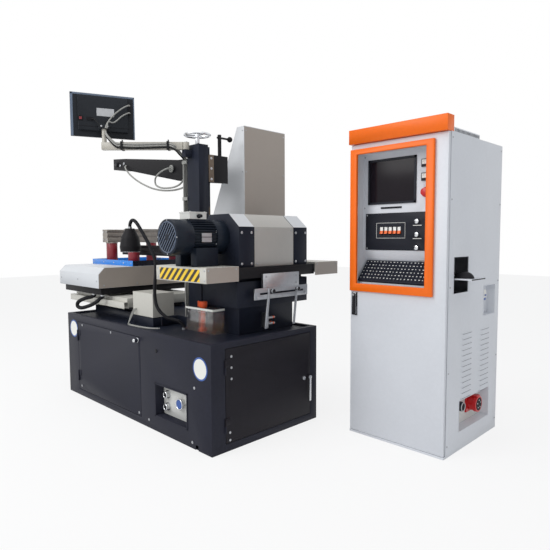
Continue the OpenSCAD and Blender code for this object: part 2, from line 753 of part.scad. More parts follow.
module monitor_arm_cables() color(steel) at_pivot() for (dz = boom_cable_zs)
  rod_x(boom_cable_r, boom_cable_x, boom_w / 2 + boom_cable_r + run, boom_z0 + dz);

head_clear = 3;
monitor_back = head_r + head_clear;
rim_share = 0.55;
hump_shares = [0.8, 0.4];
monitor_z0 = 1792;
monitor_turn_deg = 68;
mount_w = 60;
bezel = 12;
screen_sink = 2;
module at_head() at_pivot() translate([boom_l - head_r, 0, 0]) rotate([0, 0,
    -boom_turn + monitor_turn_deg])
  children();
module monitor_housing() at_head() {
  color(dark) difference() {
    translate([0, monitor_back, 0]) difference() {
      union() {
        block([-monitor_w / 2, monitor_w / 2], [monitor_t * rim_share, monitor_t], [monitor_z0,
            monitor_z0 + monitor_h]);
        block([-monitor_w / 2 + monitor_t, monitor_w / 2 - monitor_t], [0, monitor_t * rim_share + over],
          [monitor_z0 + monitor_t * hump_shares[0], monitor_z0 + monitor_h - monitor_t * hump_shares[1]]);
      }
      block([-monitor_w / 2 + bezel, monitor_w / 2 - bezel], [monitor_t - screen_sink, monitor_t + over],
        [monitor_z0 + bezel, monitor_z0 + monitor_h - bezel]);
    }
  }
  color(beige) difference() {
    block([-mount_w / 2, mount_w / 2], [-head_r - 2 * head_clear, monitor_back], [collar_z0,
        collar_z0 + collar_h]);
    rod_z(head_r + gap, [collar_z0 - over, collar_z0 + collar_h + over], 0, 0);
  }
}
collar_z0 = 1835;
collar_h = 30;

column_cable_r = 5;
cable_ys = [-118, -106, -94];
cable_out = 30;
cable_x = column_x[0] - pedestal_out - column_cable_r - cable_out;
clip_t = 2;
clip_h = 20;
clip_zs = [1400, 1630];
cable_z = [bed_top, 1655];
module column_cables() color(steel) {
  for (y = cable_ys) rod_z(column_cable_r, cable_z, cable_x, y);
  for (z = clip_zs) block([cable_x - column_cable_r - clip_t, column_x[0]],
    [min(cable_ys) - column_cable_r - clip_t, max(cable_ys) + column_cable_r + clip_t], [z, z + clip_h]);
}

// Bed casting under the wire drum, with its rails
drum_x = 590;
drum_bed_x = [420, 750];
pedestal_inset = 22;
pedestal_y = [-100, 360];
block_y = [-130, 476];
block_z0 = 750;
drum_bed_top = 905;
drum_rail_xs = [490, 680];
drum_rail_w = 40;
drum_rail_h = 20;
module drum_bed() color(navy) {
  block([drum_bed_x[0] + pedestal_inset, drum_bed_x[1] - pedestal_inset], pedestal_y, [tray_z, block_z0]);
  block(drum_bed_x, block_y, [block_z0, drum_bed_top]);
  for (x = drum_rail_xs) block([x - drum_rail_w / 2, x + drum_rail_w / 2], block_y,
    [drum_bed_top, drum_bed_top + drum_rail_h]);
}

// Carriage that carries the drum, with its sheet covers
carriage_x = [404, 792];
carriage_y = [-160, 500];
carriage_z0 = drum_bed_top + drum_rail_h + gap;
carriage_top = 990;
cover_x1 = 800;
near_x0 = 315;
far_x0 = 410;
near_y1 = carriage_y[0];
near_y = [near_y1 - near_cover_l, near_y1];
far_y = [carriage_y[1], carriage_y[1] + far_cover_l];
cover_z = [915, 915 + cover_h];
cover_t = 3;
module drum_carriage() color(dark)
  block(carriage_x, carriage_y, [carriage_z0, carriage_top]);
module carriage_covers() color(pale) {
  difference() {
    block([near_x0, cover_x1], near_y, cover_z);
    block([near_x0 + cover_t, cover_x1 - cover_t], [near_y[0] + cover_t, near_y[1] + over],
      [cover_z[0] - over, cover_z[1] - cover_t]);
  }
  difference() {
    block([far_x0, cover_x1], far_y, cover_z);
    block([far_x0 + cover_t, cover_x1 - cover_t], [far_y[0] - over, far_y[1] - cover_t],
      [cover_z[0] - over, cover_z[1] - cover_t]);
  }
}

// Eight-sided outline shared by the bearing brackets and the drum housing
shoulder = 77;
top_inset = 90;
housing_x = [drum_x - housing_w / 2, drum_x + housing_w / 2];
function octagon(i) = [
  [housing_x[0] + i, carriage_top + i], [housing_x[0] + i,
      carriage_top + housing_h - shoulder - i * oct_share],
  [housing_x[0] + top_inset + i * oct_share, carriage_top + housing_h - i],
  [housing_x[1] - top_inset - i * oct_share, carriage_top + housing_h - i],
  [housing_x[1] - i, carriage_top + housing_h - shoulder - i * oct_share], [housing_x[1] - i,
      carriage_top + i]];
oct_share = 0.45;
housing_y0 = -12;
housing_y = [housing_y0, housing_y0 + housing_l];
near_bracket_y = [-130, housing_y[0]];
far_bracket_l = 129;
far_bracket_y = [housing_y[1], housing_y[1] + far_bracket_l];
bracket_t = 12;
bearing_t = 25;
module bracket(ys, end_ys) {
  difference() {
    slab_y(octagon(0), ys);
    slab_y(octagon(bracket_t), [ys[0] + (end_ys[0] == ys[0] ? bearing_t : -over),
      ys[1] - (end_ys[1] == ys[1] ? bearing_t : -over)]);
    rod_y(shaft_d / 2 + run, [end_ys[0] - over, end_ys[1] + over], drum_x, drum_axis_z);
  }
}
module drum_brackets() color(navy) {
  bracket(near_bracket_y, [near_bracket_y[0], near_bracket_y[0] + bearing_t]);
  bracket(far_bracket_y, [far_bracket_y[1] - bearing_t, far_bracket_y[1]]);
}
housing_t = 3;
module drum_housing() color(pale) difference() {
  slab_y(octagon(0), housing_y);
  slab_y(octagon(housing_t), [housing_y[0] - over, housing_y[1] + over]);
}
drum_y0 = 10;
shaft_in = 2;
module wire_drum() color(steel) {
  rod_y(drum_d / 2, [drum_y0, drum_y0 + drum_l], drum_x, drum_axis_z);
  rod_y(shaft_d / 2, [near_bracket_y[0] + shaft_in, far_bracket_y[1] - shaft_in], drum_x, drum_axis_z);
}

// Drum motor with fins, flange, terminal box and slotted fan cover
motor_y1 = near_bracket_y[0];
flange_t = 18;
fan_share = 0.32;
fin_share = 0.44;
fin_count = 36;
fin_t = 4;
fin_h = 12;
fan_t = 3;
slot_n = 6;
slot_t = 9;
grille_t = 4;
box_w = 90;
box_l = 110;
box_h = 50;
foot_w = 50;
foot_share = 0.75;
foot_top_share = 0.6;
grille_share = 0.82;
slots_share = 0.75;
module drum_motor() {
  y0 = motor_y1 - motor_l;
  yf = y0 + fan_share * motor_l;
  yb = yf + fin_share * motor_l;
  r = motor_d / 2;
  color(navy) {
    rod_y(r - fin_h, [yf, yb], drum_x, drum_axis_z);
    rod_y(r, [yb, motor_y1], drum_x, drum_axis_z);
    translate([drum_x, yf, drum_axis_z]) rotate([-90, 0, 0]) linear_extrude(height = yb - yf)
      for (k = [0 : fin_count - 1]) rotate(k * 360 / fin_count)
        translate([r - fin_h - fin_t, -fin_t / 2]) square([fin_h + fin_t - gap, fin_t]);
    block([drum_x - box_w / 2, drum_x + box_w / 2], [yf + fin_t, yf + fin_t + box_l],
      [drum_axis_z + r - fin_h - fin_t, drum_axis_z + r - fin_h + box_h]);
    for (s = [-1, 1]) block([drum_x + s * r * foot_share - foot_w / 2,
        drum_x + s * r * foot_share + foot_w / 2],
      [yf + fin_t, yb - fin_t], [cover_z[1], drum_axis_z - r * foot_top_share]);
  }
  color(dark) difference() {
    rod_y(r - fan_t / 3, [y0, yf - gap], drum_x, drum_axis_z);
    rod_y(r - fan_t, [y0 + grille_t, yf + over], drum_x, drum_axis_z);
    intersection() {
      rod_y(r * grille_share, [y0 - over, y0 + grille_t + over], drum_x, drum_axis_z);
      translate([drum_x, y0 - over, drum_axis_z]) rotate([0, 45, 0]) for (k = [-slot_n : slot_n])
        translate([-r, 0, k * r * slots_share / slot_n - slot_t / 2]) cube([2 * r,
            grille_t + 2 * over, slot_t]);
    }
  }
}

// Strike bracket with its slotted bar, knobs and trip strips
strike_t = 8;
strike_y = [21, 333];
strike_z = [842, 948];
bar_t = 12;
bar_y = [-56, 400];
bar_z = [800, 865];
bar_slot_h = 12;
bar_slot_inset = 40;
strike_knob_r = 13;
strike_knob_l = 20;
strike_knob_ys = [80, 299];
strip_t = 4;
strip_w = 18;
strip_z0 = 625;
strip_lean = 30;
strip_ys = [58, 300];
module strike_bracket() {
  x0 = cover_x1;
  xb = x0 + strike_t;
  color(steel) block([carriage_x[1], xb], strike_y, strike_z);
  color(pale) difference() {
    block([xb, xb + bar_t], bar_y, bar_z);
    block([xb - over, xb + bar_t + over], [bar_y[0] + bar_slot_inset, bar_y[1] - bar_slot_inset],
      [(bar_z[0] + bar_z[1] - bar_slot_h) / 2, (bar_z[0] + bar_z[1] + bar_slot_h) / 2]);
  }
  color(steel) for (y = strip_ys) slab_x([[y - strip_w / 2, bar_z[1]], [y + strip_w / 2, bar_z[1]],
    [y + strip_w / 2 - strip_lean, strip_z0], [y - strip_w / 2 - strip_lean, strip_z0]],
    [xb + bar_t, xb + bar_t + strip_t]);
  color(dark) for (y = strike_knob_ys) rod_x(strike_knob_r, [xb + bar_t,
      xb + bar_t + strike_knob_l], y, (bar_z[0] + bar_z[1]) / 2 + bar_slot_h);
}

trip_x = 770;
trip_back = 22;
switch_r = 9;
tip_r = 8;
switch_l = 45;
tip_l = 18;
switch_ys = [112, 96, 128];
switch_zs = [676, 640, 640];
switch_plate_y = [80, 180];
switch_plate_t = 6;
switch_plate_z = [618, 706];
module limit_switches() {
  x0 = drum_bed_x[1] - pedestal_inset;
  color(navy) block([x0, trip_x + switch_r + switch_plate_t],
    [switch_plate_y[0], switch_plate_y[0] + switch_plate_t], switch_plate_z);
  for (k = [0 : 2]) {
    x = trip_x - (k == 2 ? trip_back : 0);
    y1 = switch_plate_y[0] + switch_plate_t + switch_l;
    color(steel) rod_y(switch_r, [switch_plate_y[0] + switch_plate_t, y1], x, switch_zs[k]);
    color(orange) rod_y(tip_r, [y1, y1 + tip_l], x, switch_zs[k]);
  }
}

// Clear oil tank and its hand pump
oil_x = [352, 620];
oil_y = [-208, -120];
oil_h = 152;
oil_t = 4;
cap_r = 24;
cap_x = 470;
cap_h = 34;
stem_r = 13;
stub_r = 6;
stub_x = 425;
oil_foot = 20;
pump_foot_r = 23;
module oil_tank() color([0.8, 0.85, 0.9, 0.4]) difference() {
  block(oil_x, oil_y, [tray_z, tray_z + oil_h]);
  block([oil_x[0] + oil_t, oil_x[1] - oil_t], [oil_y[0] + oil_t, oil_y[1] - oil_t],
    [tray_z + oil_t, tray_z + oil_h - oil_t]);
  rod_z(stem_r + gap, [tray_z + oil_h - oil_t - over, tray_z + oil_h + over], cap_x,
      (oil_y[0] + oil_y[1]) / 2);
}
module oil_pump() {
  y = (oil_y[0] + oil_y[1]) / 2;
  top = tray_z + oil_h;
  color(orange) rod_z(cap_r, [top, top + cap_h], cap_x, y);
  color(steel) {
    rod_z(stem_r, [tray_z + oil_t + oil_foot, top], cap_x, y);
    rod_z(pump_foot_r, [tray_z + oil_t, tray_z + oil_t + oil_foot], cap_x, y);
    rod_z(stub_r, [top, top + cap_h], stub_x, y);
  }
}

// Cabinet
cab_x0 = 1163;
cab_x = [cab_x0, cab_x0 + cab_w];
cab_y0 = 395;
cab_y = [cab_y0, cab_y0 + cab_d];
shell_y0 = cab_y0 + front_t + over;
front_gap = 3;
hinge_in = 8;
hinge_x = cab_x[1] - hinge_in;
hinge_y = cab_y0 + front_t / 2;
hinge_r = 3;
hinge_l = 14;
plinth_h = 12;
mouse_y = [471, 641];
mouse_drop = 825;
mouse_slot_h = 190;
mouse_z = [cab_h - mouse_drop, cab_h - mouse_drop + mouse_slot_h];
breaker_y = [851, 1005];
breaker_drop = 980;
breaker_slot_h = 171;
breaker_z = [cab_h - breaker_drop, cab_h - breaker_drop + breaker_slot_h];
breaker_depth = 45;
outlet_y = [565, 950];
outlet_z = [104, 274];
outlet_depth = 60;
louvre_w = 112;
louvre_h = 8;
louvre_out = 6;
louvre_pitch = 29.5;
louvre_cols = [[584, 282], [815, 276]];
vent_y = [445, 751];
vent_w = 60;
vent_h = 24;
module recess_box(ys, zs, depth) block([cab_x[1] - depth - cab_wall, cab_x[1] - cab_wall / 2],
  [ys[0] - cab_wall, ys[1] + cab_wall], [zs[0] - cab_wall, zs[1] + cab_wall]);
module cabinet_shell() color(pale) {
  difference() {
    union() {
      difference() {
        block(cab_x, [shell_y0, cab_y[1]], [0, cab_h]);
        block([cab_x[0] + cab_wall, cab_x[1] - cab_wall], [shell_y0 - over, cab_y[1] - cab_wall],
          [cab_wall, cab_h - cab_wall]);
        block([cab_x[1] - cab_wall - over, cab_x[1] + over], mouse_y, mouse_z);
      }
      recess_box(breaker_y, breaker_z, breaker_depth);
      recess_box(outlet_y, outlet_z, outlet_depth);
      block([cab_x[1] - vent_w - cab_wall, cab_x[1] - cab_wall], [vent_y[0], vent_y[1]],
          [cab_h - cab_wall,
        cab_h + vent_h]);
      block(cab_x, [cab_y0, shell_y0 + cab_wall], [0, plinth_h]);
      rod_z(hinge_r, [plinth_h - over, plinth_h + hinge_l], hinge_x, hinge_y);
    }
    block([cab_x[1] - breaker_depth, cab_x[1] + over], breaker_y, breaker_z);
    block([cab_x[1] - outlet_depth, cab_x[1] + over], outlet_y, outlet_z);
  }
  for (c = louvre_cols) for (k = [0 : louvre_count - 1]) translate([0, c[0], c[1] + k * louvre_pitch])
    slab_y([[cab_x[1] - cab_wall, 0], [cab_x[1], 0], [cab_x[1] + louvre_out, 0],
      [cab_x[1], louvre_h], [cab_x[1] - cab_wall, louvre_h]], [0, louvre_w]);
}

header_depth = 70;
module cabinet_header() color(orange) {
  difference() {
    block(cab_x, [cab_y0 - header_out, cab_y0 + header_depth - header_out], [cab_h, cab_h + header_h]);
    block([cab_x[0] + cab_wall, cab_x[1] - cab_wall], [cab_y0 - header_out + cab_wall,
      cab_y0 + header_depth - header_out - cab_wall], [cab_h + cab_wall, cab_h + header_h - cab_wall]);
  }
  rod_z(hinge_r, [cab_h - front_gap - hinge_l, cab_h], hinge_x, hinge_y);
}

// Front door with the window, its orange frame and the lock
front_x = [cab_x[0] + front_gap, cab_x[1] - front_gap];
front_z = [plinth_h + front_gap, cab_h - front_gap];
window_in = 50;
window_x = [cab_x[0] + window_in, cab_x[0] + window_in + window_w];
window_drop = 796;
window_z0 = cab_h - window_drop;
window_z = [window_z0, window_z0 + window_h];
front_wall = 2;
lock_x = [1180, 1212];
lock_drop = 186;
lock_h = 132;
lock_z = [window_z0 - lock_drop, window_z0 - lock_drop + lock_h];
lock_plate_t = 8;
lever_t = 9;
lever_inset = 7;
module cabinet_door() {
  color(pale) difference() {
    union() {
      difference() {
        block(front_x, [cab_y0, cab_y0 + front_t], front_z);
        block([front_x[0] + front_wall, front_x[1] - front_wall], [cab_y0 + front_wall,
            cab_y0 + front_t + over],
          [front_z[0] + front_wall, front_z[1] - front_wall]);
      }
      for (z = [front_z[0], front_z[1] - hinge_l])
        block([hinge_x - 2 * hinge_r, front_x[1]], [cab_y0, cab_y0 + front_t], [z, z + hinge_l]);
    }
    block(window_x, [cab_y0 - over, cab_y0 + front_t + over], window_z);
    rod_z(hinge_r + run, [front_z[0] - over, front_z[0] + hinge_l + over], hinge_x, hinge_y);
    rod_z(hinge_r + run, [front_z[1] - hinge_l - over, front_z[1] + over], hinge_x, hinge_y);
  }
  color(dark) block(lock_x, [cab_y0 - lock_plate_t, cab_y0], lock_z);
}
module door_frame() color(orange) difference() {
  block([window_x[0] - frame_side, window_x[1] + frame_side], [cab_y0 - frame_out, cab_y0],
    [window_z[0] - frame_side, window_z[1] + frame_side * frame_top_share]);
  block(window_x, [cab_y0 - frame_out - over, cab_y0 + over], window_z);
}
frame_top_share = 0.67;
lever_pivot_h = 118;
lever_pivot_z = lock_z[0] + lever_pivot_h;
module door_lock() color(steel) {
  y1 = cab_y0 - lock_plate_t - gap;
  xm = (lock_x[0] + lock_x[1]) / 2;
  block([lock_x[0] + lever_inset, lock_x[1] - lever_inset], [y1 - lever_t, y1],
    [lock_z[0] + lever_inset, lever_pivot_z]);
  rod_y((lock_x[1] - lock_x[0]) / 2 - lever_inset, [y1 - lever_t, y1], xm, lever_pivot_z);
}

// Console bay: one folded sheet between two side plates
bay_side = 23;
bay_x = [window_x[0] - bay_side, window_x[1] + bay_side];
bay_t = 3;
bay_in = 1;
bay_y0 = shell_y0 + bay_in;
bay_back = 482;
valley_rise = 124;
fold_rise = 186;
bay_low = 4;
bay_rise = 748;
valley_y = 522;
bay_valley = [valley_y, window_z0 + valley_rise];
panel_z0 = window_z0 + fold_rise;
bay_z = [window_z0 - bay_low, window_z0 + bay_rise];
module console_bay() color(pale) difference() {
  union() {
    slab_x([[bay_y0, bay_z[0]], [bay_valley[0] + bay_t, bay_valley[1]], [bay_back + bay_t, panel_z0],
      [bay_back + bay_t, bay_z[1]], [bay_y0, bay_z[1]], [bay_y0, bay_z[1] - bay_t],
      [bay_back, bay_z[1] - bay_t], [bay_back, panel_z0], [bay_valley[0], bay_valley[1]],
      [bay_y0, bay_z[0] + 2 * bay_t]], bay_x);
    for (x = [bay_x[0] - bay_t, bay_x[1]]) slab_x([[bay_y0, bay_z[0]], [bay_valley[0] + bay_t,
        bay_valley[1]],
      [bay_back + bay_t, panel_z0], [bay_back + bay_t, bay_z[1]], [bay_y0, bay_z[1]]], [x, x + bay_t]);
    for (x = [[cab_x[0] + cab_wall, bay_x[0]], [bay_x[1], cab_x[1] - cab_wall]])
      block(x, [bay_y0, bay_y0 + bay_t], bay_z);
  }
  block(display_x, [bay_back - over, bay_back + bay_t + over], display_z);
  rod_y(stop_stem_r + gap, [bay_back - over, bay_back + bay_t + over], stop_x, stop_z);
  block([switch_x[0] - gap, switch_x[1] + gap], [bay_back - over, bay_back + bay_t + over],
    [switch_z[0] - gap, switch_z[1] + gap]);
  for (z = button_zs) rod_y(button_r + gap, [bay_back - over, bay_back + bay_t + over], button_x, z);
}

display_x0 = 1235;
display_rise = 464;
display_z0 = window_z0 + display_rise;
display_x = [display_x0, display_x0 + display_w];
display_z = [display_z0, display_z0 + display_h];
display_lip = 10;
display_t = 60;
module display_screen() color(dark) {
  y0 = bay_back + bay_t;
  block([display_x[0] - display_lip, display_x[1] + display_lip], [y0, y0 + display_t],
    [display_z[0] - display_lip, display_z[1] + display_lip]);
}

panel_x = [1210, 1662];
panel_rise = [192, 403];
panel_z = [window_z0 + panel_rise[0], window_z0 + panel_rise[1]];
panel_t = 4;
rocker_x0 = 1321;
rocker_pitch = 28.5;
rocker_rise = 303;
rocker_z = window_z0 + rocker_rise;
rocker_w = 18;
rocker_h = 38;
rocker_slot = 46;
switch_wall = 9;
switch_depth = 14;
pin_l = 3;
rocker_pin_r = 1.5;
switch_x = [rocker_x0 - rocker_w / 2 - switch_wall,
    rocker_x0 + 4 * rocker_pitch + rocker_w / 2 + switch_wall];
switch_z = [rocker_z - rocker_slot / 2 - switch_wall / 2, rocker_z + rocker_slot / 2 + switch_wall / 2];
button_x = 1546;
button_rises = [352, 280, 208];
button_zs = [for (r = button_rises) window_z0 + r];
button_r = 12;
collar_r = 16;
collar_t = 3;
meter_in = [79, 34];
meter_x = [for (m = meter_in) window_x[1] - m];
meter_rises = [642, 568];
meter_zs = [for (r = meter_rises) window_z0 + r];
meter_h = 42;
meter_t = 8;
drive_x = [1312, 1446];
drive_rise = 428;
drive_h = 10;
drive_z = [window_z0 + drive_rise, window_z0 + drive_rise + drive_h];
module console_panel() {
  color(dark) difference() {
    union() {
      block(panel_x, [bay_back - panel_t, bay_back], panel_z);
      block(switch_x, [bay_back - over, bay_back + switch_depth], switch_z);
    }
    for (k = [0 : 4]) block([rocker_x0 + k * rocker_pitch - rocker_w / 2 - gap,
        rocker_x0 + k * rocker_pitch
      + rocker_w / 2 + gap], [bay_back - panel_t - over, bay_back + switch_depth + over],
      [rocker_z - rocker_slot / 2, rocker_z + rocker_slot / 2]);
    rod_x(rocker_pin_r + run, [switch_x[0] + pin_l, switch_x[1] - pin_l], rocker_y, rocker_z);
    for (z = button_zs) rod_y(button_r + gap, [bay_back - panel_t - over, bay_back + over], button_x, z);
  }
  color(steel) for (z = button_zs) difference() {
    rod_y(collar_r, [bay_back - panel_t - collar_t, bay_back - panel_t], button_x, z);
    rod_y(button_r + gap, [bay_back - panel_t - collar_t - over, bay_back], button_x, z);
  }
  color(dark) {
    for (z = meter_zs) block(meter_x, [bay_back - meter_t, bay_back], [z, z + meter_h]);
    block(drive_x, [bay_back - meter_t / 2, bay_back], drive_z);
  }
}

// Keyboard lying on the sloped tray
key_side = 10;
key_x = [window_x[0] - key_side, window_x[1] + key_side];
key_t = 16;
key_rows = 6;
key_cols = 20;
key_h = 5;
key_gap = 4;
key_margin = 6;
module keyboard() {
  run_y = bay_valley[0] - bay_y0;
  rise_z = bay_valley[1] - bay_z[0] - 2 * bay_t;
  slope = atan2(rise_z, run_y);
  translate([key_x[0], bay_y0, bay_z[0] + 2 * bay_t]) rotate([slope, 0, 0]) {
    color(dark) block([0, key_x[1] - key_x[0]], [key_margin, key_margin + keyboard_d], [gap, key_t]);
    px = (key_x[1] - key_x[0] - 2 * key_margin) / key_cols;
    py = (keyboard_d - 2 * key_margin) / key_rows;
    color(navy) for (i = [0 : key_cols - 1]) for (j = [0 : key_rows - 1])
      block([key_margin + i * px + key_gap / 2, key_margin + (i + 1) * px - key_gap / 2],
        [2 * key_margin + j * py + key_gap / 2, 2 * key_margin + (j + 1) * py - key_gap / 2],
        [key_t, key_t + key_h]);
  }
}

module rocker(k) {
  half = rocker_h / 2;
  color(orange) translate([rocker_x0 + k * rocker_pitch - rocker_w / 2, rocker_y, rocker_z])
    rotate([-rocker_tilt, 0, 0]) {
      slab_x([[-rocker_out, -half], [-rocker_out * rocker_share, 0], [-rocker_out, half],
        [rocker_in, half * rocker_share], [rocker_in, -half * rocker_share]], [0, rocker_w]);
      rod_x(rocker_pin_r, [-pin_l, rocker_w + pin_l], 0, 0);
    }
}
rocker_y = 484;
rocker_out = 13;
rocker_share = 0.8;
rocker_in = 8;
rocker_tilt = 8;
module rocker_1() rocker(0);
module rocker_2() rocker(1);
module rocker_3() rocker(2);
module rocker_4() rocker(3);
module rocker_5() rocker(4);

button_front = 12;
button_back = 14;
module push_button(k) color(steel)
  rod_y(button_r, [bay_back - panel_t - button_front, bay_back + button_back], button_x, button_zs[k]);
module push_button_1() push_button(0);
module push_button_2() push_button(1);
module push_button_3() push_button(2);

stop_x = 1592;
stop_rise = 507;
stop_z = window_z0 + stop_rise;
stop_r = 20;
stop_stem_r = 9;
stop_h = 14;
stop_stand = 10;
module emergency_stop() color("red") {
  rod_y(stop_r, [bay_back - stop_stand - stop_h, bay_back - stop_stand], stop_x, stop_z);
  rod_y(stop_stem_r, [bay_back - stop_stand, bay_back + button_back], stop_x, stop_z);
}

// Mouse shelf that slides out through the slot in the side
shelf_x = [1640, 1858];
shelf_rise = 73;
shelf_t = 6;
shelf_z = [mouse_z[0] + shelf_rise, mouse_z[0] + shelf_rise + shelf_t];
shelf_side = 3;
shelf_y = [mouse_y[0] + shelf_side, mouse_y[1] - shelf_side];
mouse_x = [1738, 1842];
mouse_w = 60;
mouse_h = 36;
mouse_y0 = 506;
module mouse_shelf() {
  color(pale) block(shelf_x, shelf_y, shelf_z);
  color(dark) translate([mouse_x[0], mouse_y0, shelf_z[1]]) intersection() {
    translate([(mouse_x[1] - mouse_x[0]) / 2, mouse_w / 2, 0])
      scale([(mouse_x[1] - mouse_x[0]) / 2, mouse_w / 2, mouse_h]) sphere(r = 1, $fn = 24);
    cube([mouse_x[1] - mouse_x[0], mouse_w, mouse_h]);
  }
}

// Sockets, the red power inlet, the circuit breaker and the shelf's runner
outlet_t = 3;
din_r = 26;
din_h = 24;
din_ys = [598, 690];
din_z = 205;
inlet_r = 42;
inlet_l = 52;
inlet_y = 812;
inlet_z = 202;
flange_w = 100;
breaker_w = 30;
breaker_h = 60;
breaker_t = 30;
breaker_y0 = 866;
breaker_rise = 86;
breaker_z0 = breaker_z[0] + breaker_rise;
button_rise = 47;
button_z0 = breaker_z[0] + button_rise;
runner_t = 4;
runner_foot = 60;
runner_z = [shelf_z[0] - gap - runner_t, shelf_z[0] - gap];
module cabinet_sockets() {
  x0 = cab_x[1] - outlet_depth;
  color(pale) block([x0, x0 + outlet_t], outlet_y, outlet_z);
  color(dark) for (y = din_ys) rod_x(din_r, [x0 + outlet_t, x0 + outlet_t + din_h], y, din_z);
  color("red") {
    block([x0 + outlet_t, x0 + 4 * outlet_t], [inlet_y - flange_w / 2, inlet_y + flange_w / 2],
      [inlet_z - flange_w / 2, inlet_z + flange_w / 2]);
    difference() {
      rod_x(inlet_r, [x0 + 4 * outlet_t, x0 + 4 * outlet_t + inlet_l], inlet_y, inlet_z);
      rod_x(inlet_r - outlet_t, [x0 + 6 * outlet_t, x0 + 4 * outlet_t + inlet_l + over], inlet_y,
          inlet_z);
    }
  }
  xb = cab_x[1] - breaker_depth;
  color(blue) block([xb, xb + breaker_t], [breaker_y0, breaker_y0 + breaker_w],
    [breaker_z0, breaker_z0 + breaker_h]);
  color(dark) rod_x(button_r / 2, [xb, xb + breaker_t / 2], breaker_y0 + breaker_w / 2, button_z0);
  color(steel) {
    block([shelf_x[0] - runner_reach, cab_x[1] - cab_wall], shelf_y, runner_z);
    block([cab_x[1] - cab_wall - runner_foot, cab_x[1] - cab_wall],
      [mouse_y[0] - runner_side, mouse_y[1] + runner_side], runner_z);
  }
}
runner_reach = 90;
runner_side = 12;

rack_in = 77;
rack_w = 400;
rack_x = [cab_x[0] + rack_in, cab_x[0] + rack_in + rack_w];
rack_y = [700, 1000];
rack_zs = [30, 360, 640];
rack_h = 180;
rack_post = 20;
rack_t = 2;
module electronics_rack() color(steel) {
  for (x = [rack_x[0] - rack_post, rack_x[1]]) for (y = [rack_y[0], rack_y[1] - rack_post])
    block([x, x + rack_post], [y, y + rack_post], [cab_wall, rack_zs[2] + rack_h]);
  for (z = rack_zs) difference() {
    block(rack_x, rack_y, [z, z + rack_h]);
    block([rack_x[0] + rack_t, rack_x[1] - rack_t], [rack_y[0] + rack_t, rack_y[1] - rack_t],
      [z + rack_t, z + rack_h - rack_t]);
  }
}

base_cabinet();
base_sockets();
coolant_tank();
machine_bed();
column();
lower_arm();
drum_bed();
limit_switches();
oil_tank();
oil_pump();
lamp_conduit();
lamp_head();
tower_cover();
column_cables();
cabinet_shell();
cabinet_header();
console_bay();
display_screen();
console_panel();
keyboard();
cabinet_sockets();
electronics_rack();
saddle();
table_base();
table_tray();
splash_guards();
clamp_posts();
clamp_bars();
table_hose();
drum_carriage();
carriage_covers();
drum_brackets();
drum_housing();
drum_motor();
strike_bracket();
wire_drum();
z_handwheel();
upper_arm();
arm_cables();
upper_pulley();
lower_pulley();
monitor_arm();
monitor_arm_cables();
monitor_housing();
rear_door();
rear_door_handle();
side_door();
cabinet_door();
door_frame();
door_lock();
mouse_shelf();
emergency_stop();
push_button_1();
push_button_2();
push_button_3();
rocker_1();
rocker_2();
rocker_3();
rocker_4();
rocker_5();
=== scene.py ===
"""Looks of a wire electric discharge machine and its control cabinet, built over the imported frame."""
import json
import logging
import math
from dataclasses import dataclass
from enum import Enum
from typing import Sequence

import bmesh
import bpy
from mathutils import Matrix, Vector

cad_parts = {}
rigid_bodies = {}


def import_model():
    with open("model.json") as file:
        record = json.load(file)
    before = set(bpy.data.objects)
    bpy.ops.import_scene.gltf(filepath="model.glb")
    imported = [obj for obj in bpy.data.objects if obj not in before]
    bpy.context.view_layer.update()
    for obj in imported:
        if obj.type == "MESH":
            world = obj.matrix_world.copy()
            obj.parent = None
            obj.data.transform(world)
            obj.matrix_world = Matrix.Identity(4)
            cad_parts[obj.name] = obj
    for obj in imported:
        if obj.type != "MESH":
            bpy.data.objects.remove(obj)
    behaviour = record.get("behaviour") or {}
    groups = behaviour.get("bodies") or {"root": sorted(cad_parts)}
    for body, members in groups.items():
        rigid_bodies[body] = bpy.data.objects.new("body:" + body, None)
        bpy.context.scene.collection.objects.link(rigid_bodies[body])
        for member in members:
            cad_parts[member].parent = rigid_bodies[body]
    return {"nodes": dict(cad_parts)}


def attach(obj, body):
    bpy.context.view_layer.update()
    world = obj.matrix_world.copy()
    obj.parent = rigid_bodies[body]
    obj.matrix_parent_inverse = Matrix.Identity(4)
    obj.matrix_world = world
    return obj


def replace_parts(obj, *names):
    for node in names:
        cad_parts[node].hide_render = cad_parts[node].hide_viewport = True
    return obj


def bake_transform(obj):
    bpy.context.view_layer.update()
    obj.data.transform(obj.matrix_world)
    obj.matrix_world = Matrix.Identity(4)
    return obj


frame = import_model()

log = logging.getLogger("wire_edm")
Vec = tuple[float, float, float]
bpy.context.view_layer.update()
TO_DRUM: Vec = (1, 0, 0)
TO_TABLE: Vec = (-1, 0, 0)
TO_FRONT: Vec = (0, -1, 0)
TO_BACK: Vec = (0, 1, 0)
UPWARD: Vec = (0, 0, 1)
SEAM = 0.002
PROUD = 0.0005
TUBE_STEP = 0.008
WELD_GAP = 0.00002
SHARP_ANGLE = math.radians(32)
BEVEL_ANGLE = math.radians(34)
DOME_HEIGHTS = (0.6, 1.0, 1.05)
DOME_TIP = 0.62
CROWN_RADIUS = 0.32
ROUGH_SPREAD = (0.82, 1.22)
METALLIC = 0.92
COAT_SHARE = 0.24


class Kind(Enum):
    """Families of surface, each with its own node set-up."""

    PAINT = "paint"
    METAL = "metal"
    PLASTIC = "plastic"
    RUBBER = "rubber"
    GLASS = "glass"


class Pattern(Enum):
    """Ways in which a finish lays its second colour."""

    NONE = "none"
    STRIPES = "stripes"
    ABOVE = "above"


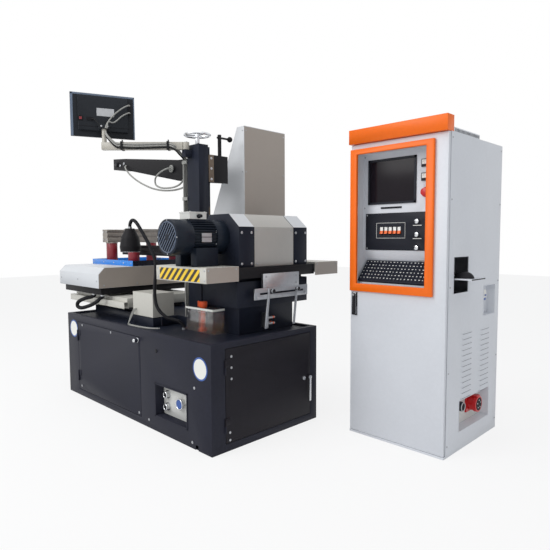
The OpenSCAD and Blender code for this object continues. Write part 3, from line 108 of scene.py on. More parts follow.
@dataclass(frozen=True)
class Finish:
    """One surface: its colour in sRGB 0-255 and how light meets it.

    The split is the stripes' pitch, or the height above which the second colour starts.
    """

    name: str
    kind: Kind
    colour: Vec
    rough: float = 0.45
    grain: float = 900.0
    bump: float = 0.08
    vary: float = 0.10
    second: Vec | None = None
    pattern: Pattern = Pattern.NONE
    split: float = 0.0
    gloss: float = 0.5


NAVY = Finish("navy", Kind.PAINT, (38, 39, 50), 0.50, 620, 0.16, 0.16, gloss=0.14)
# painted shade: the base's navy made darker for the rear door, whose drum-end face is in shade
NAVY_SHADED = Finish("navy_shaded", Kind.PAINT, (31, 29, 35), 0.52, 620, 0.16, 0.16, gloss=0.14)
NAVY_DEEP = Finish("navy_deep", Kind.PAINT, (28, 32, 44), 0.46, 520, 0.20, 0.18, gloss=0.14)
BLACK = Finish("black", Kind.PAINT, (26, 25, 28), 0.52, 500, 0.22, 0.20, gloss=0.14)
PALE = Finish("pale", Kind.PAINT, (219, 222, 228), 0.46, 1400, 0.10, 0.035)
WHITE = Finish("white", Kind.PAINT, (206, 209, 213), 0.40, 1200, 0.06, 0.03)
TOWER = Finish("tower", Kind.PAINT, (206, 208, 211), 0.40, 1200, 0.05, 0.03)
# painted shade: a darker warm grey laid on the drum-end faces of white-painted parts, where they fall in shade
END_SHADE = Finish("tower_face", Kind.PAINT, (166, 156, 147), 0.44, 1200, 0.05, 0.03)
# painted shadow: the grey line along each louvre's lower lip
LIP_SHADE = Finish("lip", Kind.PAINT, (122, 124, 132), 0.46, 1400, 0.10, 0.035)
ORANGE = Finish("orange", Kind.PAINT, (250, 112, 12), 0.40, 1300, 0.07, 0.05, gloss=0.3)
STEEL = Finish("steel", Kind.METAL, (176, 178, 182), 0.36, 700, 0.10, 0.14)
BAR = Finish("bar", Kind.METAL, (158, 152, 146), 0.46, 420, 0.18, 0.22)
CHROME = Finish("chrome", Kind.METAL, (214, 216, 220), 0.14, 900, 0.02, 0.05)
RAIL = Finish("rail", Kind.METAL, (104, 94, 84), 0.40, 520, 0.12, 0.30)
HOUSING = Finish("housing", Kind.PAINT, (176, 174, 169), 0.42, 1200, 0.06, 0.03)
BEIGE = Finish("beige", Kind.PAINT, (176, 172, 162), 0.42, 900, 0.10, 0.10)
BLUE = Finish("blue", Kind.PLASTIC, (34, 130, 222), 0.26, 900, 0.03, 0.05)
# painted shade: dark navy for the blue guard's drum-end face, which falls in shade
GUARD_SHADE = Finish("guard_shade", Kind.PLASTIC, (17, 20, 38), 0.26, 900, 0.03, 0.08)
RED_POST = Finish("red_post", Kind.PAINT, (134, 30, 42), 0.36, 640, 0.14, 0.20)
MOULDED = Finish("moulded", Kind.PLASTIC, (38, 38, 42), 0.50, 1700, 0.16, 0.10, gloss=0.14)
MONITOR = Finish("monitor", Kind.PLASTIC, (38, 41, 46), 0.44, 1700, 0.16, 0.10, gloss=0.14)
MONITOR_RIM = Finish("monitor_rim", Kind.PLASTIC, (104, 118, 138), 0.38, 1700, 0.10, 0.08)
KEYS = Finish("keys", Kind.PLASTIC, (38, 41, 52), 0.48, 1500, 0.12, 0.10, gloss=0.14)
CABLE = Finish("cable", Kind.RUBBER, (150, 150, 146), 0.55, 900, 0.12, 0.12)
CABLE_DARK = Finish("cable_dark", Kind.RUBBER, (28, 29, 31), 0.50, 900, 0.12, 0.12, gloss=0.14)
CLEAR = Finish("clear", Kind.GLASS, (206, 202, 208), 0.06)
CREAM = Finish("cream", Kind.PAINT, (198, 196, 188), 0.42, 1200, 0.08, 0.05)
OIL = Finish("oil", Kind.GLASS, (206, 150, 62), 0.10)
CAP = Finish("cap", Kind.PLASTIC, (238, 92, 30), 0.34, 1200, 0.08, 0.08)
RED = Finish("red", Kind.PLASTIC, (206, 26, 30), 0.30, 1200, 0.05, 0.06)
SCREEN = Finish("screen", Kind.PLASTIC, (30, 25, 31), 0.10, 300, 0.01, 0.10, gloss=0.14)
PANEL = Finish("panel", Kind.PAINT, (36, 38, 46), 0.44, 1500, 0.10, 0.08, gloss=0.14)
PANEL_LIGHT = Finish("panel_light", Kind.PAINT, (216, 216, 212), 0.42, 1500, 0.06, 0.04)
MOTOR_BAR = Finish("motor_bar", Kind.PAINT, (78, 90, 110), 0.40, 620, 0.10, 0.10)
MOTOR = Finish("motor", Kind.PAINT, (26, 33, 44), 0.36, 620, 0.16, 0.18, gloss=0.14)
DIAL = Finish("dial", Kind.PLASTIC, (232, 232, 226), 0.34, 1500, 0.03, 0.03)
SOCKET_BLUE = Finish("socket_blue", Kind.PLASTIC, (40, 84, 160), 0.34, 1200, 0.05, 0.06)
RECESS = Finish("recess", Kind.PAINT, (24, 24, 28), 0.60, 900, 0.10, 0.12, gloss=0.14)
BULB = Finish("bulb", Kind.PLASTIC, (238, 236, 224), 0.20, 900, 0.02, 0.03)
HAZARD = Finish("hazard", Kind.PAINT, (22, 20, 18), 0.40, 900, 0.05, 0.05,
                second=(244, 202, 30), pattern=Pattern.STRIPES, split=0.055)
ROCKER = Finish("rocker", Kind.PLASTIC, (255, 112, 34), 0.30, 1500, 0.05, 0.05,
                second=(236, 236, 232), pattern=Pattern.ABOVE, split=1.197)
RIBBED = Finish("ribbed", Kind.PLASTIC, (30, 30, 34), 0.46, 900, 0.10, 0.12, gloss=0.14)


def linear(colour: Sequence[float]) -> tuple[float, float, float, float]:
    """Turns an sRGB colour into the scene's linear one.

    Args:
        colour: red, green and blue from 0 to 255.

    Returns:
        Linear red, green, blue and an alpha of 1.
    """
    parts = [c / 255 for c in colour]
    out = [p / 12.92 if p <= 0.04045 else ((p + 0.055) / 1.055) ** 2.4 for p in parts]
    return out[0], out[1], out[2], 1.0


class NodeGroups:
    """Shared surface effects, each kept once as a node group."""

    def __init__(self) -> None:
        """Makes the groups."""
        self.wear = self._wear()
        self.grain = self._grain()
        self.brushed = self._brushed()

    @staticmethod
    def _start(name: str, inputs: dict[str, tuple[str, float | tuple]], outputs: dict[str, str]):
        """Opens a group with its sockets.

        Args:
            name: the group's name.
            inputs: socket name to its type and default.
            outputs: socket name to its type.

        Returns:
            The group, its input node and its output node.
        """
        group = bpy.data.node_groups.new(name, "ShaderNodeTree")
        for key, (kind, value) in inputs.items():
            sock = group.interface.new_socket(key, in_out="INPUT", socket_type=kind)
            sock.default_value = value
        for key, kind in outputs.items():
            group.interface.new_socket(key, in_out="OUTPUT", socket_type=kind)
        return group, group.nodes.new("NodeGroupInput"), group.nodes.new("NodeGroupOutput")

    def _wear(self):
        """Colour that drifts over large patches, darker in soft stains.

        Returns:
            The node group.
        """
        group, inp, out = self._start(
            "fx_wear",
            {"Colour": ("NodeSocketColor", (1, 1, 1, 1)), "Vary": ("NodeSocketFloat", 0.1)},
            {"Colour": "NodeSocketColor", "Mask": "NodeSocketFloat"})
        new, link = group.nodes.new, group.links.new
        coord = new("ShaderNodeTexCoord")
        big, fine = new("ShaderNodeTexNoise"), new("ShaderNodeTexNoise")
        big.inputs["Scale"].default_value = 3.4
        big.inputs["Detail"].default_value = 6
        fine.inputs["Scale"].default_value = 46
        fine.inputs["Detail"].default_value = 4
        mix = new("ShaderNodeMix")
        mix.inputs["Factor"].default_value = 0.35
        ramp = new("ShaderNodeMapRange")
        ramp.inputs["From Min"].default_value = 0.32
        ramp.inputs["From Max"].default_value = 0.68
        ramp.inputs["To Min"].default_value = -1
        gain = new("ShaderNodeMath")
        gain.operation = "MULTIPLY"
        hue = new("ShaderNodeHueSaturation")
        one = new("ShaderNodeMath")
        one.operation = "ADD"
        one.inputs[1].default_value = 1.0
        for node in (big, fine):
            link(coord.outputs["Object"], node.inputs["Vector"])
        link(big.outputs["Fac"], mix.inputs["A"])
        link(fine.outputs["Fac"], mix.inputs["B"])
        link(mix.outputs["Result"], ramp.inputs["Value"])
        link(ramp.outputs["Result"], gain.inputs[0])
        link(inp.outputs["Vary"], gain.inputs[1])
        link(gain.outputs[0], one.inputs[0])
        link(one.outputs[0], hue.inputs["Value"])
        link(inp.outputs["Colour"], hue.inputs["Color"])
        link(hue.outputs["Color"], out.inputs["Colour"])
        link(mix.outputs["Result"], out.inputs["Mask"])
        return group

    def _grain(self):
        """Fine bump of sprayed paint or moulded plastic.

        Returns:
            The node group.
        """
        group, inp, out = self._start(
            "fx_grain", {"Scale": ("NodeSocketFloat", 900.0), "Strength": ("NodeSocketFloat", 0.1)},
            {"Normal": "NodeSocketVector"})
        new, link = group.nodes.new, group.links.new
        coord, noise, bump = new("ShaderNodeTexCoord"), new("ShaderNodeTexNoise"), new("ShaderNodeBump")
        noise.inputs["Detail"].default_value = 3
        bump.inputs["Distance"].default_value = 0.0006
        link(coord.outputs["Object"], noise.inputs["Vector"])
        link(inp.outputs["Scale"], noise.inputs["Scale"])
        link(inp.outputs["Strength"], bump.inputs["Strength"])
        link(noise.outputs["Fac"], bump.inputs["Height"])
        link(bump.outputs["Normal"], out.inputs["Normal"])
        return group

    def _brushed(self):
        """Fine lines along X and Y, as left by grinding.

        Returns:
            The node group.
        """
        group, inp, out = self._start(
            "fx_brushed", {"Strength": ("NodeSocketFloat", 0.1)}, {"Normal": "NodeSocketVector"})
        new, link = group.nodes.new, group.links.new
        coord, scale, noise = new("ShaderNodeTexCoord"), new("ShaderNodeMapping"), new("ShaderNodeTexNoise")
        scale.inputs["Scale"].default_value = (26, 26, 1500)
        noise.inputs["Scale"].default_value = 1.0
        noise.inputs["Detail"].default_value = 3
        bump = new("ShaderNodeBump")
        bump.inputs["Distance"].default_value = 0.0004
        link(coord.outputs["Object"], scale.inputs["Vector"])
        link(scale.outputs["Vector"], noise.inputs["Vector"])
        link(inp.outputs["Strength"], bump.inputs["Strength"])
        link(noise.outputs["Fac"], bump.inputs["Height"])
        link(bump.outputs["Normal"], out.inputs["Normal"])
        return group


class Paintbox:
    """Makes each finish into one material, the first time it is asked for."""

    def __init__(self) -> None:
        """Starts with the shared groups and no materials."""
        self.groups = NodeGroups()
        self.made: dict[str, bpy.types.Material] = {}

    def get(self, finish: Finish) -> bpy.types.Material:
        """Gives a finish's material.

        Args:
            finish: the surface wanted.

        Returns:
            Its material, made once.
        """
        if finish.name not in self.made:
            self.made[finish.name] = self._make(finish)
        return self.made[finish.name]

    def _colour(self, tree: bpy.types.NodeTree, finish: Finish) -> bpy.types.NodeSocket | None:
        """Builds the colour where a finish has two, in stripes or split by height.

        Args:
            tree: the material's nodes.
            finish: the surface.

        Returns:
            The colour socket, or None for a single colour.
        """
        if finish.second is None:
            return None
        new, link = tree.nodes.new, tree.links.new
        coord, split = new("ShaderNodeTexCoord"), new("ShaderNodeSeparateXYZ")
        mix = new("ShaderNodeMix")
        mix.data_type = "RGBA"
        mix.inputs["A"].default_value = linear(finish.colour)
        mix.inputs["B"].default_value = linear(finish.second)
        link(coord.outputs["Object"], split.inputs["Vector"])
        compare = new("ShaderNodeMath")
        compare.operation = "GREATER_THAN"
        if finish.pattern is Pattern.ABOVE:
            compare.inputs[1].default_value = finish.split
            link(split.outputs["Z"], compare.inputs[0])
        else:
            lean, wrap = new("ShaderNodeMath"), new("ShaderNodeMath")
            lean.operation = "SUBTRACT"
            wrap.operation = "PINGPONG"
            wrap.inputs[1].default_value = finish.split / 2
            compare.inputs[1].default_value = finish.split / 4
            link(split.outputs["X"], lean.inputs[0])
            link(split.outputs["Z"], lean.inputs[1])
            link(lean.outputs[0], wrap.inputs[0])
            link(wrap.outputs[0], compare.inputs[0])
        link(compare.outputs[0], mix.inputs["Factor"])
        return mix.outputs["Result"]

    def _make(self, finish: Finish) -> bpy.types.Material:
        """Builds one material's nodes.

        Args:
            finish: the surface.

        Returns:
            The new material.
        """
        mat = bpy.data.materials.new("mat_" + finish.name)
        mat.use_nodes = True
        tree = mat.node_tree
        new, link = tree.nodes.new, tree.links.new
        shader = tree.nodes["Principled BSDF"]
        wear = new("ShaderNodeGroup")
        wear.node_tree = self.groups.wear
        wear.inputs["Colour"].default_value = linear(finish.colour)
        wear.inputs["Vary"].default_value = finish.vary
        colour = self._colour(tree, finish)
        if colour is not None:
            link(colour, wear.inputs["Colour"])
        link(wear.outputs["Colour"], shader.inputs["Base Color"])
        rough = new("ShaderNodeMapRange")
        rough.inputs["To Min"].default_value = finish.rough * ROUGH_SPREAD[0]
        rough.inputs["To Max"].default_value = min(1.0, finish.rough * ROUGH_SPREAD[1])
        link(wear.outputs["Mask"], rough.inputs["Value"])
        link(rough.outputs["Result"], shader.inputs["Roughness"])
        fine = new("ShaderNodeGroup")
        if finish.kind is Kind.METAL:
            shader.inputs["Metallic"].default_value = METALLIC
            fine.node_tree = self.groups.brushed
        else:
            fine.node_tree = self.groups.grain
            fine.inputs["Scale"].default_value = finish.grain
        fine.inputs["Strength"].default_value = finish.bump
        link(fine.outputs["Normal"], shader.inputs["Normal"])
        shader.inputs["Specular IOR Level"].default_value = finish.gloss
        if finish.kind is Kind.PAINT:
            shader.inputs["Coat Weight"].default_value = COAT_SHARE * finish.gloss
            shader.inputs["Coat Roughness"].default_value = 0.25
        if finish.kind is Kind.GLASS:
            shader.inputs["Transmission Weight"].default_value = 0.90
            shader.inputs["IOR"].default_value = 1.45
            shader.inputs["Alpha"].default_value = 0.30
        return mat


PAINTS = Paintbox()


class Piece:
    """One Blender object under construction, in metres, in the row's frame."""

    def __init__(self, name: str, body: str, finish: Finish, slot: str) -> None:
        """Starts an empty piece.

        Args:
            name: the object's name.
            body: the CAD body it rides on.
            finish: its surface.
            slot: the record's material slot, stored but not used.
        """
        self.name, self.body, self.finish, self.slot = name, body, finish, slot
        self.mesh = bmesh.new()

    def box(self, low: Vec, high: Vec, turn: Matrix | None = None) -> "Piece":
        """Adds a block.

        Args:
            low: its lowest corner.
            high: its highest corner.
            turn: a matrix applied after it is placed.

        Returns:
            The piece.
        """
        mid = [(a + b) / 2 for a, b in zip(low, high)]
        size = [b - a for a, b in zip(low, high)]
        place = Matrix.Translation(mid) @ Matrix.Diagonal((*size, 1))
        made = bmesh.ops.create_cube(self.mesh, size=1.0, matrix=place)
        if turn is not None:
            bmesh.ops.transform(self.mesh, matrix=turn, verts=made["verts"])
        return self

    def sheet(self, points: Sequence[Vec], out: Vec) -> "Piece":
        """Adds a thin flat plate.

        Args:
            points: its outline, in order.
            out: which way and how far it is thick.

        Returns:
            The piece.
        """
        near = self.mesh.faces.new([self.mesh.verts.new(p) for p in points])
        made = bmesh.ops.extrude_face_region(self.mesh, geom=[near])
        far = [item for item in made["geom"] if isinstance(item, bmesh.types.BMVert)]
        bmesh.ops.translate(self.mesh, verts=far, vec=out)
        return self

    def border(self, low: Vec, high: Vec, width: float) -> "Piece":
        """Adds four bars round an upright rectangle that faces front.

        Args:
            low: the lowest outer corner.
            high: the highest outer corner.
            width: how wide each bar is.

        Returns:
            The piece.
        """
        for axis in (2, 0):
            inner, outer = list(high), list(low)
            inner[axis], outer[axis] = low[axis] + width, high[axis] - width
            self.box(low, tuple(inner)).box(tuple(outer), high)
        return self

    def rod(self, a: Vec, b: Vec, radius: float, tip: float | None = None, sides: int = 40) -> "Piece":
        """Adds a cylinder or cone from one point to another.

        Args:
            a: the first end's centre.
            b: the second end's centre.
            radius: radius at the first end.
            tip: radius at the second end, the same when left out.
            sides: facets round it.

        Returns:
            The piece.
        """
        start, end = Vector(a), Vector(b)
        spin = (end - start).to_track_quat("Z", "Y").to_matrix().to_4x4()
        bmesh.ops.create_cone(
            self.mesh, cap_ends=True, segments=sides, radius1=radius, radius2=radius if tip is None else tip,
            depth=(end - start).length, matrix=Matrix.Translation((start + end) / 2) @ spin)
        return self

    def stub(self, base: Vec, axis: Vec, length: float, radius: float, tip: float | None = None,
             sides: int = 40) -> "Piece":
        """Adds a short cylinder or cone that stands on a point.

        Args:
            base: the centre of its foot.
            axis: the way it stands.
            length: how far it stands out.
            radius: radius at its foot.
            tip: radius at its end, the same when left out.
            sides: facets round it.

        Returns:
            The piece.
        """
        end = tuple(b + length * a for a, b in zip(axis, base))
        return self.rod(base, end, radius, tip, sides)

    def ring(self, centre: Vec, axis: Vec, radius: float, thick: float, around: int = 40,
             section: int = 10) -> "Piece":
        """Adds a round ring.

        Args:
            centre: its centre.
            axis: the way it faces.
            radius: from the centre to the middle of its wire.
            thick: the wire's radius.
            around: steps round the ring.
            section: steps round the wire.

        Returns:
            The piece.
        """
        facing = Vector(axis).to_track_quat("Z", "Y").to_matrix().to_4x4()
        upright = Matrix(((0, 1, 0, radius), (0, 0, 1, 0), (1, 0, 0, 0), (0, 0, 0, 1)))
        place = Matrix.Translation(centre) @ facing @ upright
        wire = bmesh.ops.create_circle(self.mesh, segments=section, radius=thick, matrix=place)["verts"]
        edges = list(dict.fromkeys(edge for vert in wire for edge in vert.link_edges))
        bmesh.ops.spin(self.mesh, geom=wire + edges, cent=centre, axis=axis, angle=2 * math.pi, steps=around,
                       use_merge=True)
        return self

    def tube(self, points: Sequence[Vec], radius: float, rib: float = 0.0, pitch: float = 0.006,
             sides: int = 14) -> "Piece":
        """Adds a round tube along a smooth route, ribbed if asked.

        Args:
            points: what the route runs through.
            radius: the tube's radius.
            rib: how far each rib stands out.
            pitch: distance from one rib to the next.
            sides: facets round it.

        Returns:
            The piece.
        """
        path = spaced(smooth(points), pitch / 4 if rib else TUBE_STEP)
        side = (path[1] - path[0]).orthogonal().normalized()
        rows, travelled = [], 0.0
        for i, here in enumerate(path):
            ahead = (path[min(i + 1, len(path) - 1)] - path[max(i - 1, 0)]).normalized()
            side = (side - side.dot(ahead) * ahead).normalized()
            other = ahead.cross(side)
            if i:
                travelled += (here - path[i - 1]).length
            r = radius + rib * (0.5 + 0.5 * math.cos(2 * math.pi * travelled / pitch)) if rib else radius
            rows.append([self.mesh.verts.new(here + r * (math.cos(t) * side + math.sin(t) * other))
                         for t in (2 * math.pi * k / sides for k in range(sides))])
        for i in range(len(rows) - 1):
            for k in range(sides):
                n = (k + 1) % sides
                self.mesh.faces.new((rows[i][k], rows[i][n], rows[i + 1][n], rows[i + 1][k]))
        self.mesh.faces.new(list(reversed(rows[0])))
        self.mesh.faces.new(rows[-1])
        return self

    def screws(self, points: Sequence[Vec], axis: Vec, radius: float = 0.006, height: float = 0.003) -> "Piece":
        """Adds domed screw heads, each with a small six-sided crown.

        Args:
            points: where each head sits.
            axis: the way the heads face.
            radius: head radius.
            height: how far they stand out.

        Returns:
            The piece.
        """
        for base in points:
            neck, dome, crown = (tuple(b + share * height * a for a, b in zip(axis, base))
                                 for share in DOME_HEIGHTS)
            self.rod(base, neck, radius, sides=20)
            self.rod(neck, dome, radius, radius * DOME_TIP, 20)
            self.rod(dome, crown, radius * CROWN_RADIUS, sides=6)
        return self

    def done(self, bevel: float = 0.0008, segments: int = 2, rides: bool = True) -> bpy.types.Object:
        """Closes the piece: object, finish, soft edges and body.

        Args:
            bevel: width of its rounded edges.
            segments: steps over each edge.
            rides: False for a piece that runs between two bodies and rides on neither.

        Returns:
            The object.
        """
        bmesh.ops.recalc_face_normals(self.mesh, faces=self.mesh.faces)
        data = bpy.data.meshes.new(self.name)
        self.mesh.to_mesh(data)
        self.mesh.free()
        obj = bpy.data.objects.new(self.name, data)
        bpy.context.scene.collection.objects.link(obj)
        data.materials.append(PAINTS.get(self.finish))
        soften(obj, bevel, segments)
        if rides:
            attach(obj, self.body)
        return obj


def fasten(name: str, body: str, points: Sequence[Vec], axis: Vec, radius: float = 0.006,
           height: float = 0.003) -> None:
    """Makes one piece of steel screw heads that all face the same way.

    Args:
        name: the piece's name.
        body: the CAD body it rides on.
        points: where each head sits.
        axis: the way the heads face.
        radius: head radius.
        height: how far they stand out.
    """
    Piece(name, body, STEEL, "steel").screws(points, axis, radius, height).done(0)


def grid(xs: Sequence[float], ys: Sequence[float], zs: Sequence[float]) -> list[Vec]:
    """Gives every point that joins one of the xs, one of the ys and one of the zs."""
    return [(x, y, z) for x in xs for y in ys for z in zs]


def bolt_circle(centre: Vec, radius: float, angles: Sequence[float], level: int = 0) -> list[Vec]:
    """Places points round a centre, in an upright plane.

    Args:
        centre: the circle's centre.
        radius: the circle's radius.
        angles: degrees from the level axis.
        level: the plane's level axis, 0 for X and 1 for Y.

    Returns:
        One point for each angle.
    """
    out = []
    for angle in angles:
        point = list(centre)
        point[level] += radius * math.cos(math.radians(angle))
        point[2] += radius * math.sin(math.radians(angle))
        out.append(tuple(point))
    return out


def smooth(points: Sequence[Vec], steps: int = 12) -> list[Vector]:
    """Runs a smooth curve through points.

    Args:
        points: the points.
        steps: parts per gap between two points.

    Returns:
        The curve's points.
    """
    p = [Vector(q) for q in points]
    if len(p) < 3:
        return p
    out = []
    for i in range(len(p) - 1):
        a, b, c, d = p[max(i - 1, 0)], p[i], p[i + 1], p[min(i + 2, len(p) - 1)]
        for k in range(steps):
            t = k / steps
            out.append(0.5 * (2 * b + (c - a) * t + (2 * a - 5 * b + 4 * c - d) * t * t
                              + (3 * b - a - 3 * c + d) * t ** 3))
    return out + [p[-1]]


def spaced(path: Sequence[Vector], step: float) -> list[Vector]:
    """Takes points at even distances along a path.

    Args:
        path: the path.
        step: distance between two points.

    Returns:
        The new points, both ends kept.
    """
    lengths = [0.0]
    for a, b in zip(path, path[1:]):
        lengths.append(lengths[-1] + (b - a).length)
    count = max(2, round(lengths[-1] / step))
    out, i = [], 0
    for k in range(count + 1):
        want = lengths[-1] * k / count
        while i < len(lengths) - 2 and lengths[i + 1] < want:
            i += 1
        span = lengths[i + 1] - lengths[i]
        out.append(path[i].lerp(path[i + 1], (want - lengths[i]) / span if span else 0.0))
    return out


def soften(obj: bpy.types.Object, width: float, segments: int = 2) -> None:
    """Rounds an object's sharp edges and shades it smooth.

    Args:
        obj: the object.
        width: width of the rounding, none at 0.
        segments: steps over each edge.
    """
    obj.data.shade_smooth()
    obj.data.set_sharp_from_angle(angle=SHARP_ANGLE)
    if width <= 0:
        return
    weld = obj.modifiers.new("weld", "WELD")
    weld.merge_threshold = WELD_GAP
    bevel = obj.modifiers.new("soft_edges", "BEVEL")
    bevel.width = width
    bevel.segments = segments
    bevel.limit_method = "ANGLE"
    bevel.angle_limit = BEVEL_ANGLE
    bevel.use_clamp_overlap = True
    bevel.harden_normals = True


def limits(node: str) -> tuple[Vector, Vector]:
    """Finds how far a CAD node reaches.

    Args:
        node: the node's name.

    Returns:
        Its lowest and highest corners in the row's frame.
    """
    obj = frame["nodes"][node]
    points = [obj.matrix_world @ v.co for v in obj.data.vertices]
    low = Vector([min(p[k] for p in points) for k in range(3)])
    high = Vector([max(p[k] for p in points) for k in range(3)])
    return low, high


def dress(node: str, finish: Finish, bevel: float = 0.0012) -> None:
    """Gives a CAD node its finish and soft edges.

    Args:
        node: the node's name.
        finish: its surface.
        bevel: width of its rounded edges.
    """
    obj = frame["nodes"][node]
    obj.data.materials.clear()
    obj.data.materials.append(PAINTS.get(finish))
    soften(obj, bevel)


DRESS: dict[str, tuple[Finish, float]] = {
    "base_cabinet": (NAVY, 0.004), "base_sockets": (PANEL_LIGHT, 0.001), "coolant_tank": (STEEL, 0.002),
    "machine_bed": (NAVY_DEEP, 0.003), "column": (NAVY_DEEP, 0.002), "lower_arm": (BLACK, 0.003),
    "drum_bed": (NAVY_DEEP, 0.003), "limit_switches": (STEEL, 0.0006), "oil_tank": (CLEAR, 0.003),
    "oil_pump": (CAP, 0.001), "lamp_head": (BLACK, 0.001), "tower_cover": (TOWER, 0.002),
    "column_cables": (CABLE, 0.0), "cabinet_shell": (PALE, 0.0012), "cabinet_header": (ORANGE, 0.003),
    "console_bay": (PALE, 0.001), "display_screen": (SCREEN, 0.002), "console_panel": (PANEL, 0.0006),
    "keyboard": (KEYS, 0.0008), "cabinet_sockets": (PANEL, 0.0006), "electronics_rack": (STEEL, 0.001),
    "saddle": (CREAM, 0.002), "table_base": (BLACK, 0.002), "table_tray": (WHITE, 0.003),
    "splash_guards": (BLUE, 0.001), "clamp_posts": (RED_POST, 0.003), "clamp_bars": (BAR, 0.0016),
    "drum_carriage": (BLACK, 0.003), "carriage_covers": (CREAM, 0.002), "drum_brackets": (NAVY_DEEP, 0.004),
    "drum_housing": (HOUSING, 0.002), "drum_motor": (MOTOR, 0.0012), "strike_bracket": (STEEL, 0.001),
    "wire_drum": (STEEL, 0.001), "z_handwheel": (CHROME, 0.0004), "upper_arm": (BLACK, 0.003),
    "upper_pulley": (STEEL, 0.0006), "lower_pulley": (STEEL, 0.0006), "monitor_arm": (BEIGE, 0.0016),
    # the rear door takes the navy with painted shade
    "monitor_arm_cables": (CABLE, 0.0), "monitor_housing": (MONITOR, 0.002), "rear_door": (NAVY_SHADED, 0.002),
    "rear_door_handle": (CHROME, 0.001), "side_door": (NAVY, 0.002), "cabinet_door": (PALE, 0.002),
    "door_frame": (ORANGE, 0.004), "door_lock": (MOULDED, 0.002), "mouse_shelf": (MOULDED, 0.001),
    "emergency_stop": (RED, 0.003), "push_button_1": (CHROME, 0.001), "push_button_2": (CHROME, 0.001),
    "push_button_3": (CHROME, 0.001), "rocker_1": (ROCKER, 0.0006), "rocker_2": (ROCKER, 0.0006),
    "rocker_3": (ROCKER, 0.0006), "rocker_4": (ROCKER, 0.0006), "rocker_5": (ROCKER, 0.0006),
    "lamp_conduit": (RIBBED, 0.0), "table_hose": (RIBBED, 0.0), "arm_cables": (CABLE, 0.0),
}


